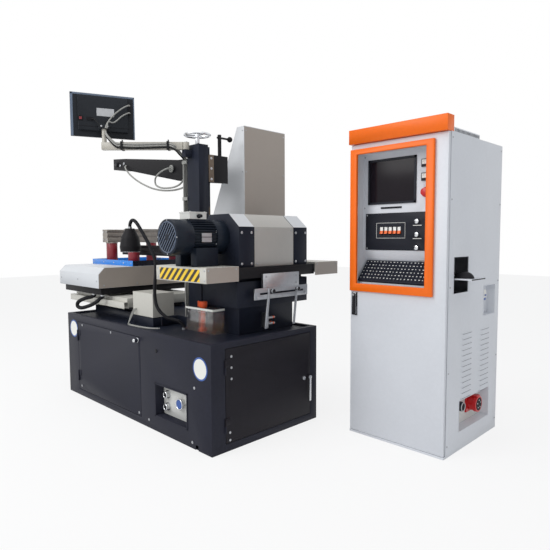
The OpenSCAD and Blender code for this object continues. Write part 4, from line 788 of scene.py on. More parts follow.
@dataclass
class MachineBase:
    """The floor-standing base: screws, discs, sockets and door fittings."""

    front: float = -0.425
    end: float = 0.875
    screws: tuple[tuple[float, float], ...] = ((0.256, 0.051), (0.727, 0.345), (0.702, 0.034))
    door_screws: tuple[tuple[float, float], ...] = (
        (-0.634, 0.530), (-0.667, 0.075), (-0.204, 0.532), (0.142, 0.068))
    end_door_screws: tuple[tuple[float, float], ...] = (
        (-0.286, 0.52), (-0.286, 0.459), (-0.286, 0.397), (-0.300, 0.102), (-0.300, 0.06))
    discs: tuple[tuple[float, float], ...] = ((-0.775, 0.491), (0.781, 0.459))
    disc_radii: tuple[float, float] = (0.064, 0.055)
    panel_reach: float = 0.80
    panel_heights: tuple[float, float] = (0.045, 0.545)
    socket_x: float = 0.386
    socket_zs: tuple[float, float] = (0.151, 0.225)
    socket_face: float = -0.391
    power_socket: tuple[float, float] = (0.530, 0.200)
    socket_frame: tuple[tuple[float, float], ...] = ((0.329, 0.091), (0.660, 0.297))
    frame_bar: float = 0.008
    knob: tuple[float, float] = (0.139, 0.528)
    latch: tuple[float, float] = (0.353, 0.492)

    def build(self) -> None:
        """Makes the base's fittings."""
        fasten("base_screws", "machine", [(x, self.front, z) for x, z in self.screws], TO_FRONT, 0.008)
        fasten("side_door_screws", "side_door", [(x, self.front, z) for x, z in self.door_screws],
               TO_FRONT, 0.008)
        self.blanks()
        self.far_panels()
        self.sockets()
        self.doors()
        Piece("tray_rim_seal", "machine", NAVY_DEEP, "navy_paint").box(
            (-0.845, -0.397, 0.5882), (0.845, 0.397, 0.5890)).done(0)

    def blanks(self) -> None:
        """Makes the front's round blanks, each a blue rim behind a white face."""
        rims = Piece("blank_disc_rims", "machine", SOCKET_BLUE, "blue_plastic")
        faces = Piece("blank_discs", "machine", DIAL, "white_sheet")
        rim, face = self.disc_radii
        for x, z in self.discs:
            rims.stub((x, self.front, z), TO_FRONT, 0.0008, rim, sides=72)
            faces.stub((x, self.front - 0.0008, z), TO_FRONT, 0.0004, face, sides=72)
        rims.done(0)
        faces.done(0)

    def far_panels(self) -> None:
        """Draws the seams of the two far panels and screws the panels on."""
        far, reach = -self.front, self.panel_reach
        low, high = self.panel_heights
        seams = Piece("far_panel_seams", "machine", RECESS, "black_plastic")
        for x in (-reach, 0.0, reach):
            seams.box((x, far, low), (x + SEAM, far + PROUD, high))
        for z in (low, high - SEAM):
            seams.box((-reach, far, z), (reach, far + PROUD, z + SEAM))
        seams.done(0)
        fasten("far_panel_screws", "machine",
               grid((-0.775, -0.025, 0.027, 0.775), (far,), (0.07, 0.30, 0.52)), TO_BACK, 0.007)

    def sockets(self) -> None:
        """Makes the sockets on the connector plate, and the plate's frame."""
        power_x, power_z = self.power_socket
        rings = Piece("base_socket_rings", "machine", CHROME, "chrome")
        cores = Piece("base_socket_cores", "machine", RECESS, "black_plastic")
        for z in self.socket_zs:
            rings.ring((self.socket_x, self.socket_face, z), TO_FRONT, 0.0175, 0.004)
            rings.stub((self.socket_x, -0.367, z), TO_FRONT, 0.007, 0.025)
            cores.stub((self.socket_x, -0.390, z), TO_FRONT, 0.0025, 0.0135)
        rings.ring((power_x, self.socket_face, power_z), TO_FRONT, 0.031, 0.004)
        rings.done(0.0004)
        cores.done(0.0004)
        Piece("base_power_ring", "machine", SOCKET_BLUE, "blue_plastic").stub(
            (power_x, -0.390, power_z), TO_FRONT, 0.0035, 0.026).done(0.0006)
        (left, foot), (right, top), bar = *self.socket_frame, self.frame_bar
        surround = Piece("base_socket_frame", "machine", NAVY, "navy_paint")
        for x0, x1, z0, z1 in ((left, left + bar, foot, top), (right - bar, right, foot, top),
                               (left, right, top - bar, top), (left, right, foot, foot + bar)):
            surround.box((x0, self.front - 0.003, z0), (x1, self.front, z1))
        surround.done(0.0006)

    def doors(self) -> None:
        """Makes the latch, knob, screws and lock of the base's doors."""
        latch_x, latch_z = self.latch
        knob_x, knob_z = self.knob
        Piece("base_latch", "machine", MOULDED, "black_plastic").stub(
            (latch_x, self.front, latch_z), TO_FRONT, 0.006, 0.011, 0.009).done(0.0006)
        Piece("side_door_knob_cap", "side_door", CHROME, "chrome").stub(
            (knob_x, -0.451, knob_z), TO_FRONT, 0.004, 0.012, 0.010).ring(
            (knob_x, -0.427, knob_z), TO_FRONT, 0.013, 0.002).done(0.0004)
        fasten("rear_door_screws", "rear_door", [(self.end, y, z) for y, z in self.end_door_screws],
               TO_DRUM, 0.007)
        Piece("rear_door_lock", "rear_door", CHROME, "chrome").stub(
            (self.end, 0.300, 0.285), TO_DRUM, 0.010, 0.013, 0.011).done(0.0008)


@dataclass
class WorkTable:
    """Guards, posts, clamp bars, drive cover and the ribbed hose of the table."""

    posts: tuple[float, float] = (-0.857, -0.518)
    post_ys: tuple[float, float] = (-0.060, 0.300)
    guard_front: float = -0.130
    guard_foot: float = 0.955
    bar_front: float = -0.116
    bar_top: float = 1.2300
    hose_ends: tuple[float, float] = (-0.585, -0.456)
    motor_cover: tuple[Vec, Vec] = ((-0.1220, -0.3000, 0.6510), (0.1220, -0.1410, 0.8050))
    cover_skin: float = 0.0006
    lead_gap: float = 0.014
    hose: tuple[Vec, ...] = (
        (-0.585, -0.350, 0.7604), (-0.585, -0.350, 0.746), (-0.598, -0.366, 0.736), (-0.655, -0.388, 0.722),
        (-0.740, -0.395, 0.694), (-0.772, -0.396, 0.668), (-0.752, -0.396, 0.650), (-0.690, -0.394, 0.650),
        (-0.570, -0.390, 0.678), (-0.482, -0.382, 0.712), (-0.461, -0.366, 0.736), (-0.456, -0.350, 0.746),
        (-0.456, -0.350, 0.7604))

    def build(self) -> None:
        """Makes the table's fittings."""
        self.tray_end()
        self.drive()
        # dark navy sheet of painted shade on the guard's drum-end face
        Piece("guard_end_shade", "table", GUARD_SHADE, "blue_plastic").box(
            (-0.415, self.guard_front, self.guard_foot), (-0.4142, 0.370, 0.9952)).done(0.0003)
        fasten("guard_screws", "table",
               grid((-1.03, -0.86, -0.70, -0.55, -0.44), (self.guard_front,), (0.975,)), TO_FRONT, 0.005)
        self.clamps()
        trim = Piece("table_tray_screws", "table", STEEL, "steel")
        trim.screws(grid((-1.03, -0.74, -0.44), (-0.400,), (0.860,)), TO_FRONT)
        trim.screws(grid((-0.410,), (-0.36, -0.10, 0.16, 0.37), (0.830,)), TO_DRUM)
        trim.done(0)
        hose = Piece("table_hose_ribbed", "table", RIBBED, "black_plastic")
        hose.tube(self.hose, 0.0115, 0.0024, 0.007)
        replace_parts(hose.done(0), "table_hose")
        nuts = Piece("table_hose_nuts", "table", STEEL, "steel")
        for x in self.hose_ends:
            nuts.stub((x, -0.350, 0.750), UPWARD, 0.0104, 0.016, sides=6)
        nuts.done(0.0006)

    def tray_end(self) -> None:
        """Covers the tray's drum end, whose near top corner is cut off, with a sheet of painted shade."""
        low, high = limits("table_tray")
        side, top, slant, inset = high.x, high.z - 0.0015, 0.045, 0.0015
        near, far, foot = low.y + inset, high.y - inset, low.z + 0.001
        Piece("tray_end_shade", "table", END_SHADE, "white_sheet").sheet(
            [(side, near, foot), (side, far, foot), (side, far, top), (side, low.y + slant, top),
             (side, near, top - slant)], (PROUD, 0, 0)).done(0)

    def drive(self) -> None:
        """Puts thin cream sheets over the drive's cover, and its two leads."""
        (x0, y0, z0), (x1, y1, z1) = self.motor_cover
        skin = self.cover_skin
        cover = Piece("table_motor_cover", "machine", CREAM, "white_sheet")
        cover.box((x0, y0 - skin, z0), (x1, y0, z1)).box((x1, y0, z0), (x1 + skin, y1, z1))
        cover.box((x0 - skin, y0, z0), (x0, y1, z1)).box((x0, y0, z1), (x1, y1, z1 + skin))
        cover.done(0.0002)
        leads = Piece("table_drive_leads", "machine", CABLE, "grey_cable")
        for aside in (0.0, self.lead_gap):
            leads.tube([
                (-0.092 + aside, -0.3004, 0.690), (-0.092 + aside, -0.314, 0.686),
                (-0.102 + aside, -0.334, 0.640), (-0.096 + aside, -0.348 - aside, 0.5960),
                (-0.040, -0.356 - aside, 0.5925), (0.060, -0.352 - aside, 0.5925),
                (0.150, -0.334 - aside, 0.5925), (0.200, -0.300 - aside, 0.5925)], 0.0038)
        leads.done(0)

    def clamps(self) -> None:
        """Makes the posts' flanges and collars and the clamp bars' bolts."""
        flanges = Piece("post_flanges", "table", RED_POST, "red_paint")
        collars = Piece("post_collars", "table", BAR, "steel")
        bolts = Piece("clamp_bar_bolts", "table", STEEL, "steel")
        for x in self.posts:
            for y in self.post_ys:
                flanges.stub((x, y, self.guard_foot), UPWARD, 0.008, 0.0475, sides=64)
                collars.stub((x, y, 1.122), UPWARD, 0.0078, 0.0455, sides=64)
            bolts.screws(grid((x - 0.022, x + 0.022), (self.bar_front,), (1.150, 1.212)), TO_FRONT)
            for y in (-0.020, 0.256):
                bolts.stub((x, y, self.bar_top), UPWARD, 0.0012, 0.011, sides=32)
                bolts.stub((x, y, self.bar_top + 0.0012), UPWARD, 0.0002, 0.006, sides=6)
        flanges.done(0.0012)
        collars.done(0.0008)
        bolts.done(0)


@dataclass
class WireStand:
    """Column, arms, tapered cover, handwheel and the cables that hang from them."""

    gland: Vec = (-0.070, 0.0, 1.640)
    lamp: tuple[float, float] = (-0.106, -0.320)
    guide_face: float = 0.3640
    slide_face: float = 0.3870
    wheel: tuple[float, float] = (0.327, -0.0815)
    cover_end: float = 0.4000
    cover_foot: float = 0.652
    cover_screws: tuple[float, ...] = (0.70, 1.00, 1.30, 1.60, 1.87)
    lower_nose: float = -0.8450
    loop_a: tuple[Vec, ...] = (
        (-0.700, 0.0, 1.722), (-0.700, -0.010, 1.722), (-0.690, -0.016, 1.702), (-0.630, -0.020, 1.655),
        (-0.540, -0.020, 1.605), (-0.430, -0.020, 1.560), (-0.300, -0.020, 1.520), (-0.160, -0.020, 1.496),
        (-0.020, -0.020, 1.490), (0.090, -0.020, 1.502), (0.150, -0.018, 1.530), (0.160, -0.010, 1.560),
        (0.160, 0.0, 1.560))
    loop_b: tuple[Vec, ...] = (
        (-0.070, -0.020, 1.640), (-0.070, -0.034, 1.640), (-0.096, -0.042, 1.636), (-0.160, -0.050, 1.616),
        (-0.206, -0.052, 1.588), (-0.216, -0.052, 1.558), (-0.196, -0.052, 1.530), (-0.120, -0.052, 1.508),
        (0.0, -0.050, 1.504), (0.070, -0.042, 1.520), (0.090, -0.024, 1.552), (0.090, -0.010, 1.580),
        (0.090, 0.0, 1.580))
    conduit: tuple[Vec, ...] = (
        (0.322, -0.200, 0.588), (0.321, -0.206, 0.612), (0.308, -0.236, 0.642), (0.262, -0.290, 0.668),
        (0.205, -0.316, 0.722), (0.182, -0.320, 0.790), (0.182, -0.320, 0.860), (0.194, -0.320, 0.940),
        (0.192, -0.320, 1.018), (0.142, -0.320, 1.101), (0.042, -0.320, 1.204), (-0.026, -0.320, 1.264),
        (-0.073, -0.320, 1.278), (-0.102, -0.320, 1.256), (-0.106, -0.320, 1.225))

    def build(self) -> None:
        """Makes the stand's fittings."""
        self.arm_cables()
        self.lamp_parts()
        self.column_parts()
        self.cover_parts()

    def arm_cables(self) -> None:
        """Hangs the two cable loops from the upper arm, with their gland."""
        x, y, z = self.gland
        loops = Piece("arm_cable_loops", "upper_arm", CABLE, "grey_cable")
        loops.tube(self.loop_a, 0.006).tube(self.loop_b, 0.006)
        loops.stub(self.gland, TO_FRONT, 0.016, 0.025).ring((x, y - 0.016, z), TO_BACK, 0.018, 0.004)
        loops.stub((x, y - 0.016, z), TO_FRONT, 0.006, 0.014, sides=8)
        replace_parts(loops.done(0), "arm_cables")
        Piece("arm_cable_gland", "upper_arm", MOULDED, "black_plastic").stub(
            self.gland, TO_FRONT, 0.010, 0.0256, sides=48).done(0.0008)

    def lamp_parts(self) -> None:
        """Makes the lamp's ribbed conduit, nuts, shade rim and bulb."""
        conduit = Piece("lamp_conduit_ribbed", "machine", RIBBED, "black_plastic")
        conduit.tube(self.conduit, 0.0098, 0.0018, 0.007)
        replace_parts(conduit.done(0), "lamp_conduit")
        Piece("lamp_fittings", "machine", STEEL, "steel").stub(
            (*self.lamp, 1.2252), UPWARD, 0.0108, 0.015, sides=6).rod(
            (0.322, -0.200, 0.5885), (0.322, -0.201, 0.600), 0.017, sides=6).ring(
            (*self.lamp, 1.071), UPWARD, 0.0625, 0.0016).done(0.0006)
        Piece("lamp_bulb", "machine", BULB, "white_sheet").stub(
            (*self.lamp, 1.105), UPWARD, 0.045, 0.020, 0.014).done(0.004, 3)

    def column_parts(self) -> None:
        """Makes the column's guide, the arm's slide and nose, and the wheel's hub."""
        Piece("column_guide_face", "machine", RAIL, "steel").box(
            (self.guide_face - 0.0008, -0.0445, 0.951), (self.guide_face, -0.0145, 1.355)).done(0.0003)
        fasten("column_guide_screws", "machine",
               grid((self.guide_face,), (-0.0300,), (0.98, 1.06, 1.14, 1.22, 1.30)), TO_DRUM)
        fasten("arm_slide_screws", "upper_arm", grid((self.slide_face,), (-0.021,), (1.530, 1.596, 1.660)),
               TO_DRUM, 0.008)
        Piece("arm_slide_gib", "upper_arm", RAIL, "steel").box(
            (self.slide_face, -0.0415, 1.512), (self.slide_face + 0.0006, -0.0010, 1.680)).done(0.0003)
        fasten("arm_nose_bolts", "upper_arm",
               [(-0.870, 0.0, 1.750), (-0.800, 0.0, 1.735), (-0.740, 0.0, 1.744)], TO_FRONT, 0.011, 0.005)
        Piece("arm_nose_boss", "upper_arm", MOULDED, "black_plastic").stub(
            (-0.846, 0.0, 1.748), TO_FRONT, 0.012, 0.018, 0.016).done(0.001)
        Piece("wheel_hub_cap", "z_handwheel", CHROME, "chrome").stub(
            (*self.wheel, 1.818), UPWARD, 0.006, 0.011, 0.006).ring(
            (*self.wheel, 1.790), UPWARD, 0.0145, 0.002).done(0.0006)

    def cover_parts(self) -> None:
        """Makes the tapered cover's screws, its drum-end sheet of painted shade and its fold, and the lower
        arm's guide.
        """
        end, foot, nose = self.cover_end, self.cover_foot, self.lower_nose
        Piece("tower_cover_screws", "machine", STEEL, "steel").screws(
            grid((end,), (0.262, 0.617), self.cover_screws), TO_DRUM, 0.005).screws(
            grid((0.385,), (0.244,), self.cover_screws), TO_FRONT, 0.005).done(0)
        # sheet of painted shade over the tapered cover's drum-end face
        Piece("tower_cover_shade", "machine", END_SHADE, "white_sheet").box(
            (end, 0.2470, foot), (end + 0.0006, 0.6330, 1.896)).done(0)
        Piece("tower_cover_fold", "machine", TOWER, "white_sheet").box(
            (end, 0.2442, foot), (end + 0.0006, 0.2470, 1.898)).done(0)
        Piece("lower_arm_guide", "machine", STEEL, "steel").box(
            (nose - 0.0004, 0.030, 1.050), (nose, 0.084, 1.085)).screws(
            grid((nose - 0.0004,), (0.036, 0.078), (1.068,)), TO_TABLE, 0.005).done(0)


@dataclass
class WireDrum:
    """Carriage covers, motor, drum housing, strike bar and oil tank."""

    motor_x: float = 0.590
    motor_z: float = 1.165
    cover_front: float = -0.3900
    cover_end: float = 0.8000
    housing_end: float = 0.7700
    terminal_box: tuple[Vec, Vec] = ((0.5425, -0.3735, 1.2660), (0.6375, -0.2580, 1.2990))
    bracket_ys: tuple[tuple[float, float], ...] = ((-0.1285, -0.0140), (0.3260, 0.4515))
    fan_radius: float = 0.0820
    fan_lean: float = 38.0
    knob_ys: tuple[float, float] = (0.080, 0.299)
    tips: tuple[tuple[float, float], ...] = ((0.770, 0.676), (0.770, 0.640), (0.748, 0.640))
    cap: tuple[float, float] = (0.470, -0.164)
    cap_radius: float = 0.0238
    knurls: int = 28

    def build(self) -> None:
        """Makes the drum unit's fittings."""
        Piece("hazard_strip", "carriage", HAZARD, "orange_paint").box(
            (0.354, self.cover_front - 0.0006, 0.921), (0.742, self.cover_front, 0.989)).done(0)
        Piece("cover_screws", "carriage", STEEL, "steel").screws(
            grid((0.330, 0.785), (self.cover_front,), (0.930, 0.985)), TO_FRONT, 0.005).screws(
            grid((self.cover_end,), (-0.375, -0.180, 0.520, 0.715), (0.985,)), TO_DRUM, 0.005).done(0)
        self.motor()
        self.housing()
        self.grille()
        self.cover_ends()
        self.strike_bar()
        self.oil_tank()

    def motor(self) -> None:
        """Makes the motor's terminal box, gland, plate, bolts and fan hub."""
        x, z = self.motor_x, self.motor_z
        foot, top = self.terminal_box
        lid = top[2]
        Piece("motor_terminal_box", "carriage", PANEL_LIGHT, "pale_paint").box(foot, top).box(
            (0.5400, -0.3760, lid), (0.6400, -0.2555, lid + 0.0070)).screws(
            [(0.549, -0.366, 1.306), (0.631, -0.366, 1.306), (0.549, -0.266, 1.306), (0.631, -0.266, 1.306)],
            UPWARD, 0.004).done(0.002)
        Piece("motor_gland", "carriage", MOULDED, "black_plastic").stub(
            (top[0], -0.316, 1.282), TO_DRUM, 0.0185, 0.012, sides=6).stub(
            (0.656, -0.316, 1.282), TO_DRUM, 0.012, 0.009).done(0.0006)
        Piece("motor_plate", "carriage", STEEL, "steel").box(
            (x + 0.0925, -0.330, z - 0.028), (x + 0.0995, -0.262, z + 0.022)).done(0.0006)
        fasten("motor_flange_bolts", "carriage",
               bolt_circle((x, -0.2164, z), 0.088, (20, 65, 160, 205, 250, 335)), TO_FRONT, 0.008, 0.006)
        Piece("motor_fan_hub", "carriage", MOTOR, "motor_paint").stub(
            (x, -0.4895, z), TO_FRONT, 0.0030, 0.022, 0.018).done(0.0006)
        fasten("motor_fan_screws", "carriage", bolt_circle((x, -0.490, z), 0.092, (0, 90, 180, 270)),
               TO_FRONT, 0.004, 0.002)

    def housing(self) -> None:
        """Makes the brackets' bolts and slanted faces and the housing's seams and screws."""
        end = self.housing_end
        fasten("bracket_bolts", "carriage", grid((end,), (-0.110, -0.035, 0.345, 0.435), (1.010, 1.190)),
               TO_DRUM, 0.008, 0.005)
        seams = Piece("housing_seams", "carriage", RECESS, "black_plastic")
        for y in (-0.0122, 0.3238):
            seams.box((end, y - 0.0012, 0.990), (end + 0.0003, y + 0.0012, 1.222))
        seams.done(0)
        fasten("housing_screws", "carriage", grid((end,), (0.010, 0.300), (1.008, 1.205)), TO_DRUM, 0.005)
        slants = Piece("bracket_slants", "carriage", WHITE, "white_sheet")
        for near, far in self.bracket_ys:
            slants.sheet([(end - 0.0010, near, 1.2240), (end - 0.0010, far, 1.2240), (0.6812, far, 1.2991),
                          (0.6812, near, 1.2991)], (0.0008, 0, 0.0009))
        slants.done(0)

    def grille(self) -> None:
        """Makes the leaning bars over the motor's fan, and the ring round them."""
        place = Matrix.Translation((self.motor_x, -0.4896, self.motor_z)) @ Matrix.Rotation(
            math.radians(self.fan_lean), 4, "Y")
        bars = Piece("motor_grille_bars", "carriage", MOTOR_BAR, "motor_paint")
        for k in range(-4, 5):
            across = k * 0.0180
            half = math.sqrt(self.fan_radius ** 2 - across ** 2)
            bars.box((across - 0.0032, -0.0022, -half), (across + 0.0032, 0.0004, half), place)
        bars.ring((self.motor_x, -0.4905, self.motor_z), TO_BACK, self.fan_radius + 0.0015, 0.0032)
        bars.done(0.0006)

    def cover_ends(self) -> None:
        """Covers the drum ends of the two carriage covers with sheets of painted shade."""
        low, high = limits("carriage_covers")
        ends = Piece("cover_end_shades", "carriage", END_SHADE, "white_sheet")
        for near, far in ((low.y + 0.001, low.y + 0.229), (high.y - 0.235, high.y - 0.001)):
            ends.box((self.cover_end, near, low.z + 0.001), (self.cover_end + PROUD, far, high.z - 0.001))
        ends.done(0)

    def strike_bar(self) -> None:
        """Makes the strike bar's knobs and screws and the limit switches' tips."""
        knobs = Piece("strike_knob_rings", "carriage", MOULDED, "black_plastic")
        for y in self.knob_ys:
            knobs.stub((0.8198, y, 0.8445), TO_DRUM, 0.0206, 0.0134, 0.0126, 24)
        knobs.done(0.0012)
        Piece("strike_bar_screws", "carriage", STEEL, "steel").screws(
            grid((0.808,), (0.045, 0.309), (0.885, 0.930)), TO_DRUM, 0.007).screws(
            grid((0.820,), (-0.030, 0.180, 0.375), (0.812,)), TO_DRUM).done(0)
        tips = Piece("limit_switch_tips", "machine", CAP, "orange_plastic")
        for x, z in self.tips:
            tips.stub((x, 0.1312, z), TO_BACK, 0.0182, 0.0084, 0.0078)
        tips.done(0.0008)

    def oil_tank(self) -> None:
        """Fills the clear oil tank, edges it and knurls its cap."""
        Piece("oil_level", "machine", OIL, "orange_plastic").box(
            (0.3575, -0.2025, 0.5935), (0.6145, -0.1255, 0.650)).done(0)
        Piece("oil_tank_rim", "machine", DIAL, "clear_plastic").box(
            (0.3505, -0.2095, 0.728), (0.6215, -0.2080, 0.7405)).box(
            (0.6200, -0.2095, 0.728), (0.6215, -0.1185, 0.7405)).done(0.0006)
        x, y = self.cap
        knurl = Piece("oil_cap_knurl", "machine", CAP, "orange_plastic")
        for k in range(self.knurls):
            turn = 2 * math.pi * k / self.knurls
            knurl.stub((x + self.cap_radius * math.cos(turn), y + self.cap_radius * math.sin(turn), 0.744),
                       UPWARD, 0.028, 0.0018, sides=8)
        knurl.done(0)


@dataclass
class MonitorStation:
    """The monitor's back, its cables and the bundle along the swinging arm."""

    head: Vec = (-0.0590, -0.5065, 0.0)
    turn: float = 68.0
    pivot: tuple[float, float] = (0.300, -0.150)
    boom: float = 224.8
    rim_low: float = 1.7925
    rim_high: float = 2.0565
    rim_half: float = 0.1915
    face: float = 0.0172
    bundle: tuple[tuple[float, float, Finish], ...] = (
        (-0.110, 0.010, CABLE_DARK), (-0.098, 0.022, CABLE), (-0.086, 0.034, CABLE))
    column_x: float = 0.2250
    strap_reach: tuple[float, float] = (0.0995, 0.3845)
    strap_width: float = 0.015

    def axes(self) -> Matrix:
        """Gives the monitor's own axes, width, depth and height, in the row's frame."""
        return Matrix.Translation(self.head) @ Matrix.Rotation(math.radians(self.turn), 4, "Z")

    def at(self, points: Sequence[Vec]) -> list[Vec]:
        """Turns points from the monitor's own axes into the row's.

        Args:
            points: points along the monitor's width, depth and height.

        Returns:
            The same points in the row's frame.
        """
        place = self.axes()
        return [tuple(place @ Vector(p)) for p in points]

    def along(self, reach: float, side: float, height: float) -> Vec:
        """Finds a point beside the swinging arm.

        Args:
            reach: distance from the pivot along the arm.
            side: distance from the arm's middle, towards the operator's right.
            height: height above the floor.

        Returns:
            The point in the row's frame.
        """
        turn = math.radians(self.boom)
        return (self.pivot[0] + reach * math.cos(turn) - side * math.sin(turn),
                self.pivot[1] + reach * math.sin(turn) + side * math.cos(turn), height)

    def build(self) -> None:
        """Makes the monitor's fittings and cables."""
        self.back()
        self.leads()
        self.arm_bundle()
        self.straps()
        Piece("arm_pivot_cap", "monitor_arm", STEEL, "steel").stub(
            (*self.pivot, 1.7533), UPWARD, 0.005, 0.012, 0.010, 6).done(0.0006)

    def back(self) -> None:
        """Makes the rim, ports, switch and blank plate of the monitor's back."""
        place, low, high, face = self.axes(), self.rim_low, self.rim_high, self.face
        rim = Piece("monitor_rim", "monitor", MONITOR_RIM, "black_plastic")
        for x0, x1, foot in ((-0.1912, -0.1765, low), (0.1845, 0.1912, low),
                             (-self.rim_half, self.rim_half, 2.0450)):
            rim.box((x0, 0.0405, foot), (x1, 0.0420, high), place)
        rim.done(0.0004)
        ports = Piece("monitor_ports", "monitor", RECESS, "black_plastic")
        ports.box((-0.150, 0.0150, 1.882), (-0.120, face, 1.912), place)
        ports.box((0.150, 0.0110, 1.936), (0.166, face, 2.006), place)
        ports.box((-0.100, 0.0120, 1.886), (-0.062, face, 1.906), place)
        ports.box((-0.165, face - 0.001, 1.8500), (0.160, face, 1.8530), place)
        ports.done(0.0006)
        Piece("monitor_switch", "monitor", RED_POST, "red_plastic").box(
            (-0.143, 0.0120, 1.889), (-0.127, 0.0150, 1.905), place).done(0.0008)
        Piece("monitor_blank_plate", "monitor", STEEL, "steel").box(
            (-0.040, face - 0.001, 1.918), (0.064, face, 1.966), place).done(0.0004)

    def leads(self) -> None:
        """Runs the monitor's three leads from its ports to the bracket."""
        leads = Piece("monitor_leads", "monitor", CABLE, "grey_cable")
        for x, z, end in ((0.160, 1.994, 0.010), (0.160, 1.948, 0.018)):
            leads.tube(self.at([
                (x, 0.010, z), (x - 0.010, 0.002, z), (x - 0.050, -0.006, z - 0.024),
                (0.060, -0.010, z - 0.068), (0.024, -0.014, 1.880), (end, -0.020, 1.852),
                (end - 0.004, -0.022, 1.838)]), 0.0042)
        leads.done(0)
        Piece("monitor_power_lead", "monitor", CABLE_DARK, "black_plastic").tube(self.at([
            (-0.070, 0.010, 1.896), (-0.056, 0.000, 1.892), (-0.040, -0.010, 1.872), (-0.026, -0.018, 1.850),
            (-0.020, -0.020, 1.836)]), 0.0038).done(0)
        screws = Piece("monitor_bracket_screws", "monitor", STEEL, "steel")
        for x in (-0.018, 0.018):
            screws.rod(*self.at([(x, -0.020, 1.850), (x, -0.023, 1.850)]), 0.006, sides=6)
        screws.done(0.0004)

    def arm_bundle(self) -> None:
        """Runs three cables along the arm and on to the column; they ride on no body."""
        for k, (y, lift, finish) in enumerate(self.bundle):
            low = 1.7083 + lift
            run = Piece("arm_bundle_%d" % (k + 1), "machine", finish, "grey_cable")
            run.tube([
                self.along(0.492, 0.017, 1.800 + 0.010 * k), self.along(0.478, 0.024, 1.776 + 0.008 * k),
                self.along(0.430, 0.0245, low + 0.006), self.along(0.392, 0.0235, low),
                self.along(0.300, 0.0245, low - 0.004), self.along(0.200, 0.0245, low - 0.002),
                self.along(0.107, 0.0235, low), self.along(0.066, 0.027, low - 0.014),
                (0.236, -0.160 + 0.012 * k, 1.690), (self.column_x, y - 0.008, 1.664),
                (self.column_x, y - 0.008, 1.654)], 0.0048)
            obj = run.done(0, rides=False)
            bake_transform(obj)
            if k == 1:
                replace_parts(obj, "monitor_arm_cables")

    def straps(self) -> None:
        """Ties the cables to the arm with two buckled straps."""
        bands = Piece("arm_straps", "monitor_arm", CABLE_DARK, "black_plastic")
        turn = Matrix.Translation((*self.pivot, 0)) @ Matrix.Rotation(math.radians(self.boom), 4, "Z")
        for x in self.strap_reach:
            end = x + self.strap_width
            bands.box((x, 0.0283, 1.7060), (end, 0.0312, 1.7556), turn)
            bands.box((x, -0.0210, 1.7550), (end, 0.0312, 1.7564), turn)
            bands.box((x, -0.0210, 1.7050), (end, 0.0312, 1.7062), turn)
            bands.box((x + 0.004, 0.0060, 1.7560), (x + 0.011, 0.0140, 1.7680), turn)
        bands.done(0.0006)


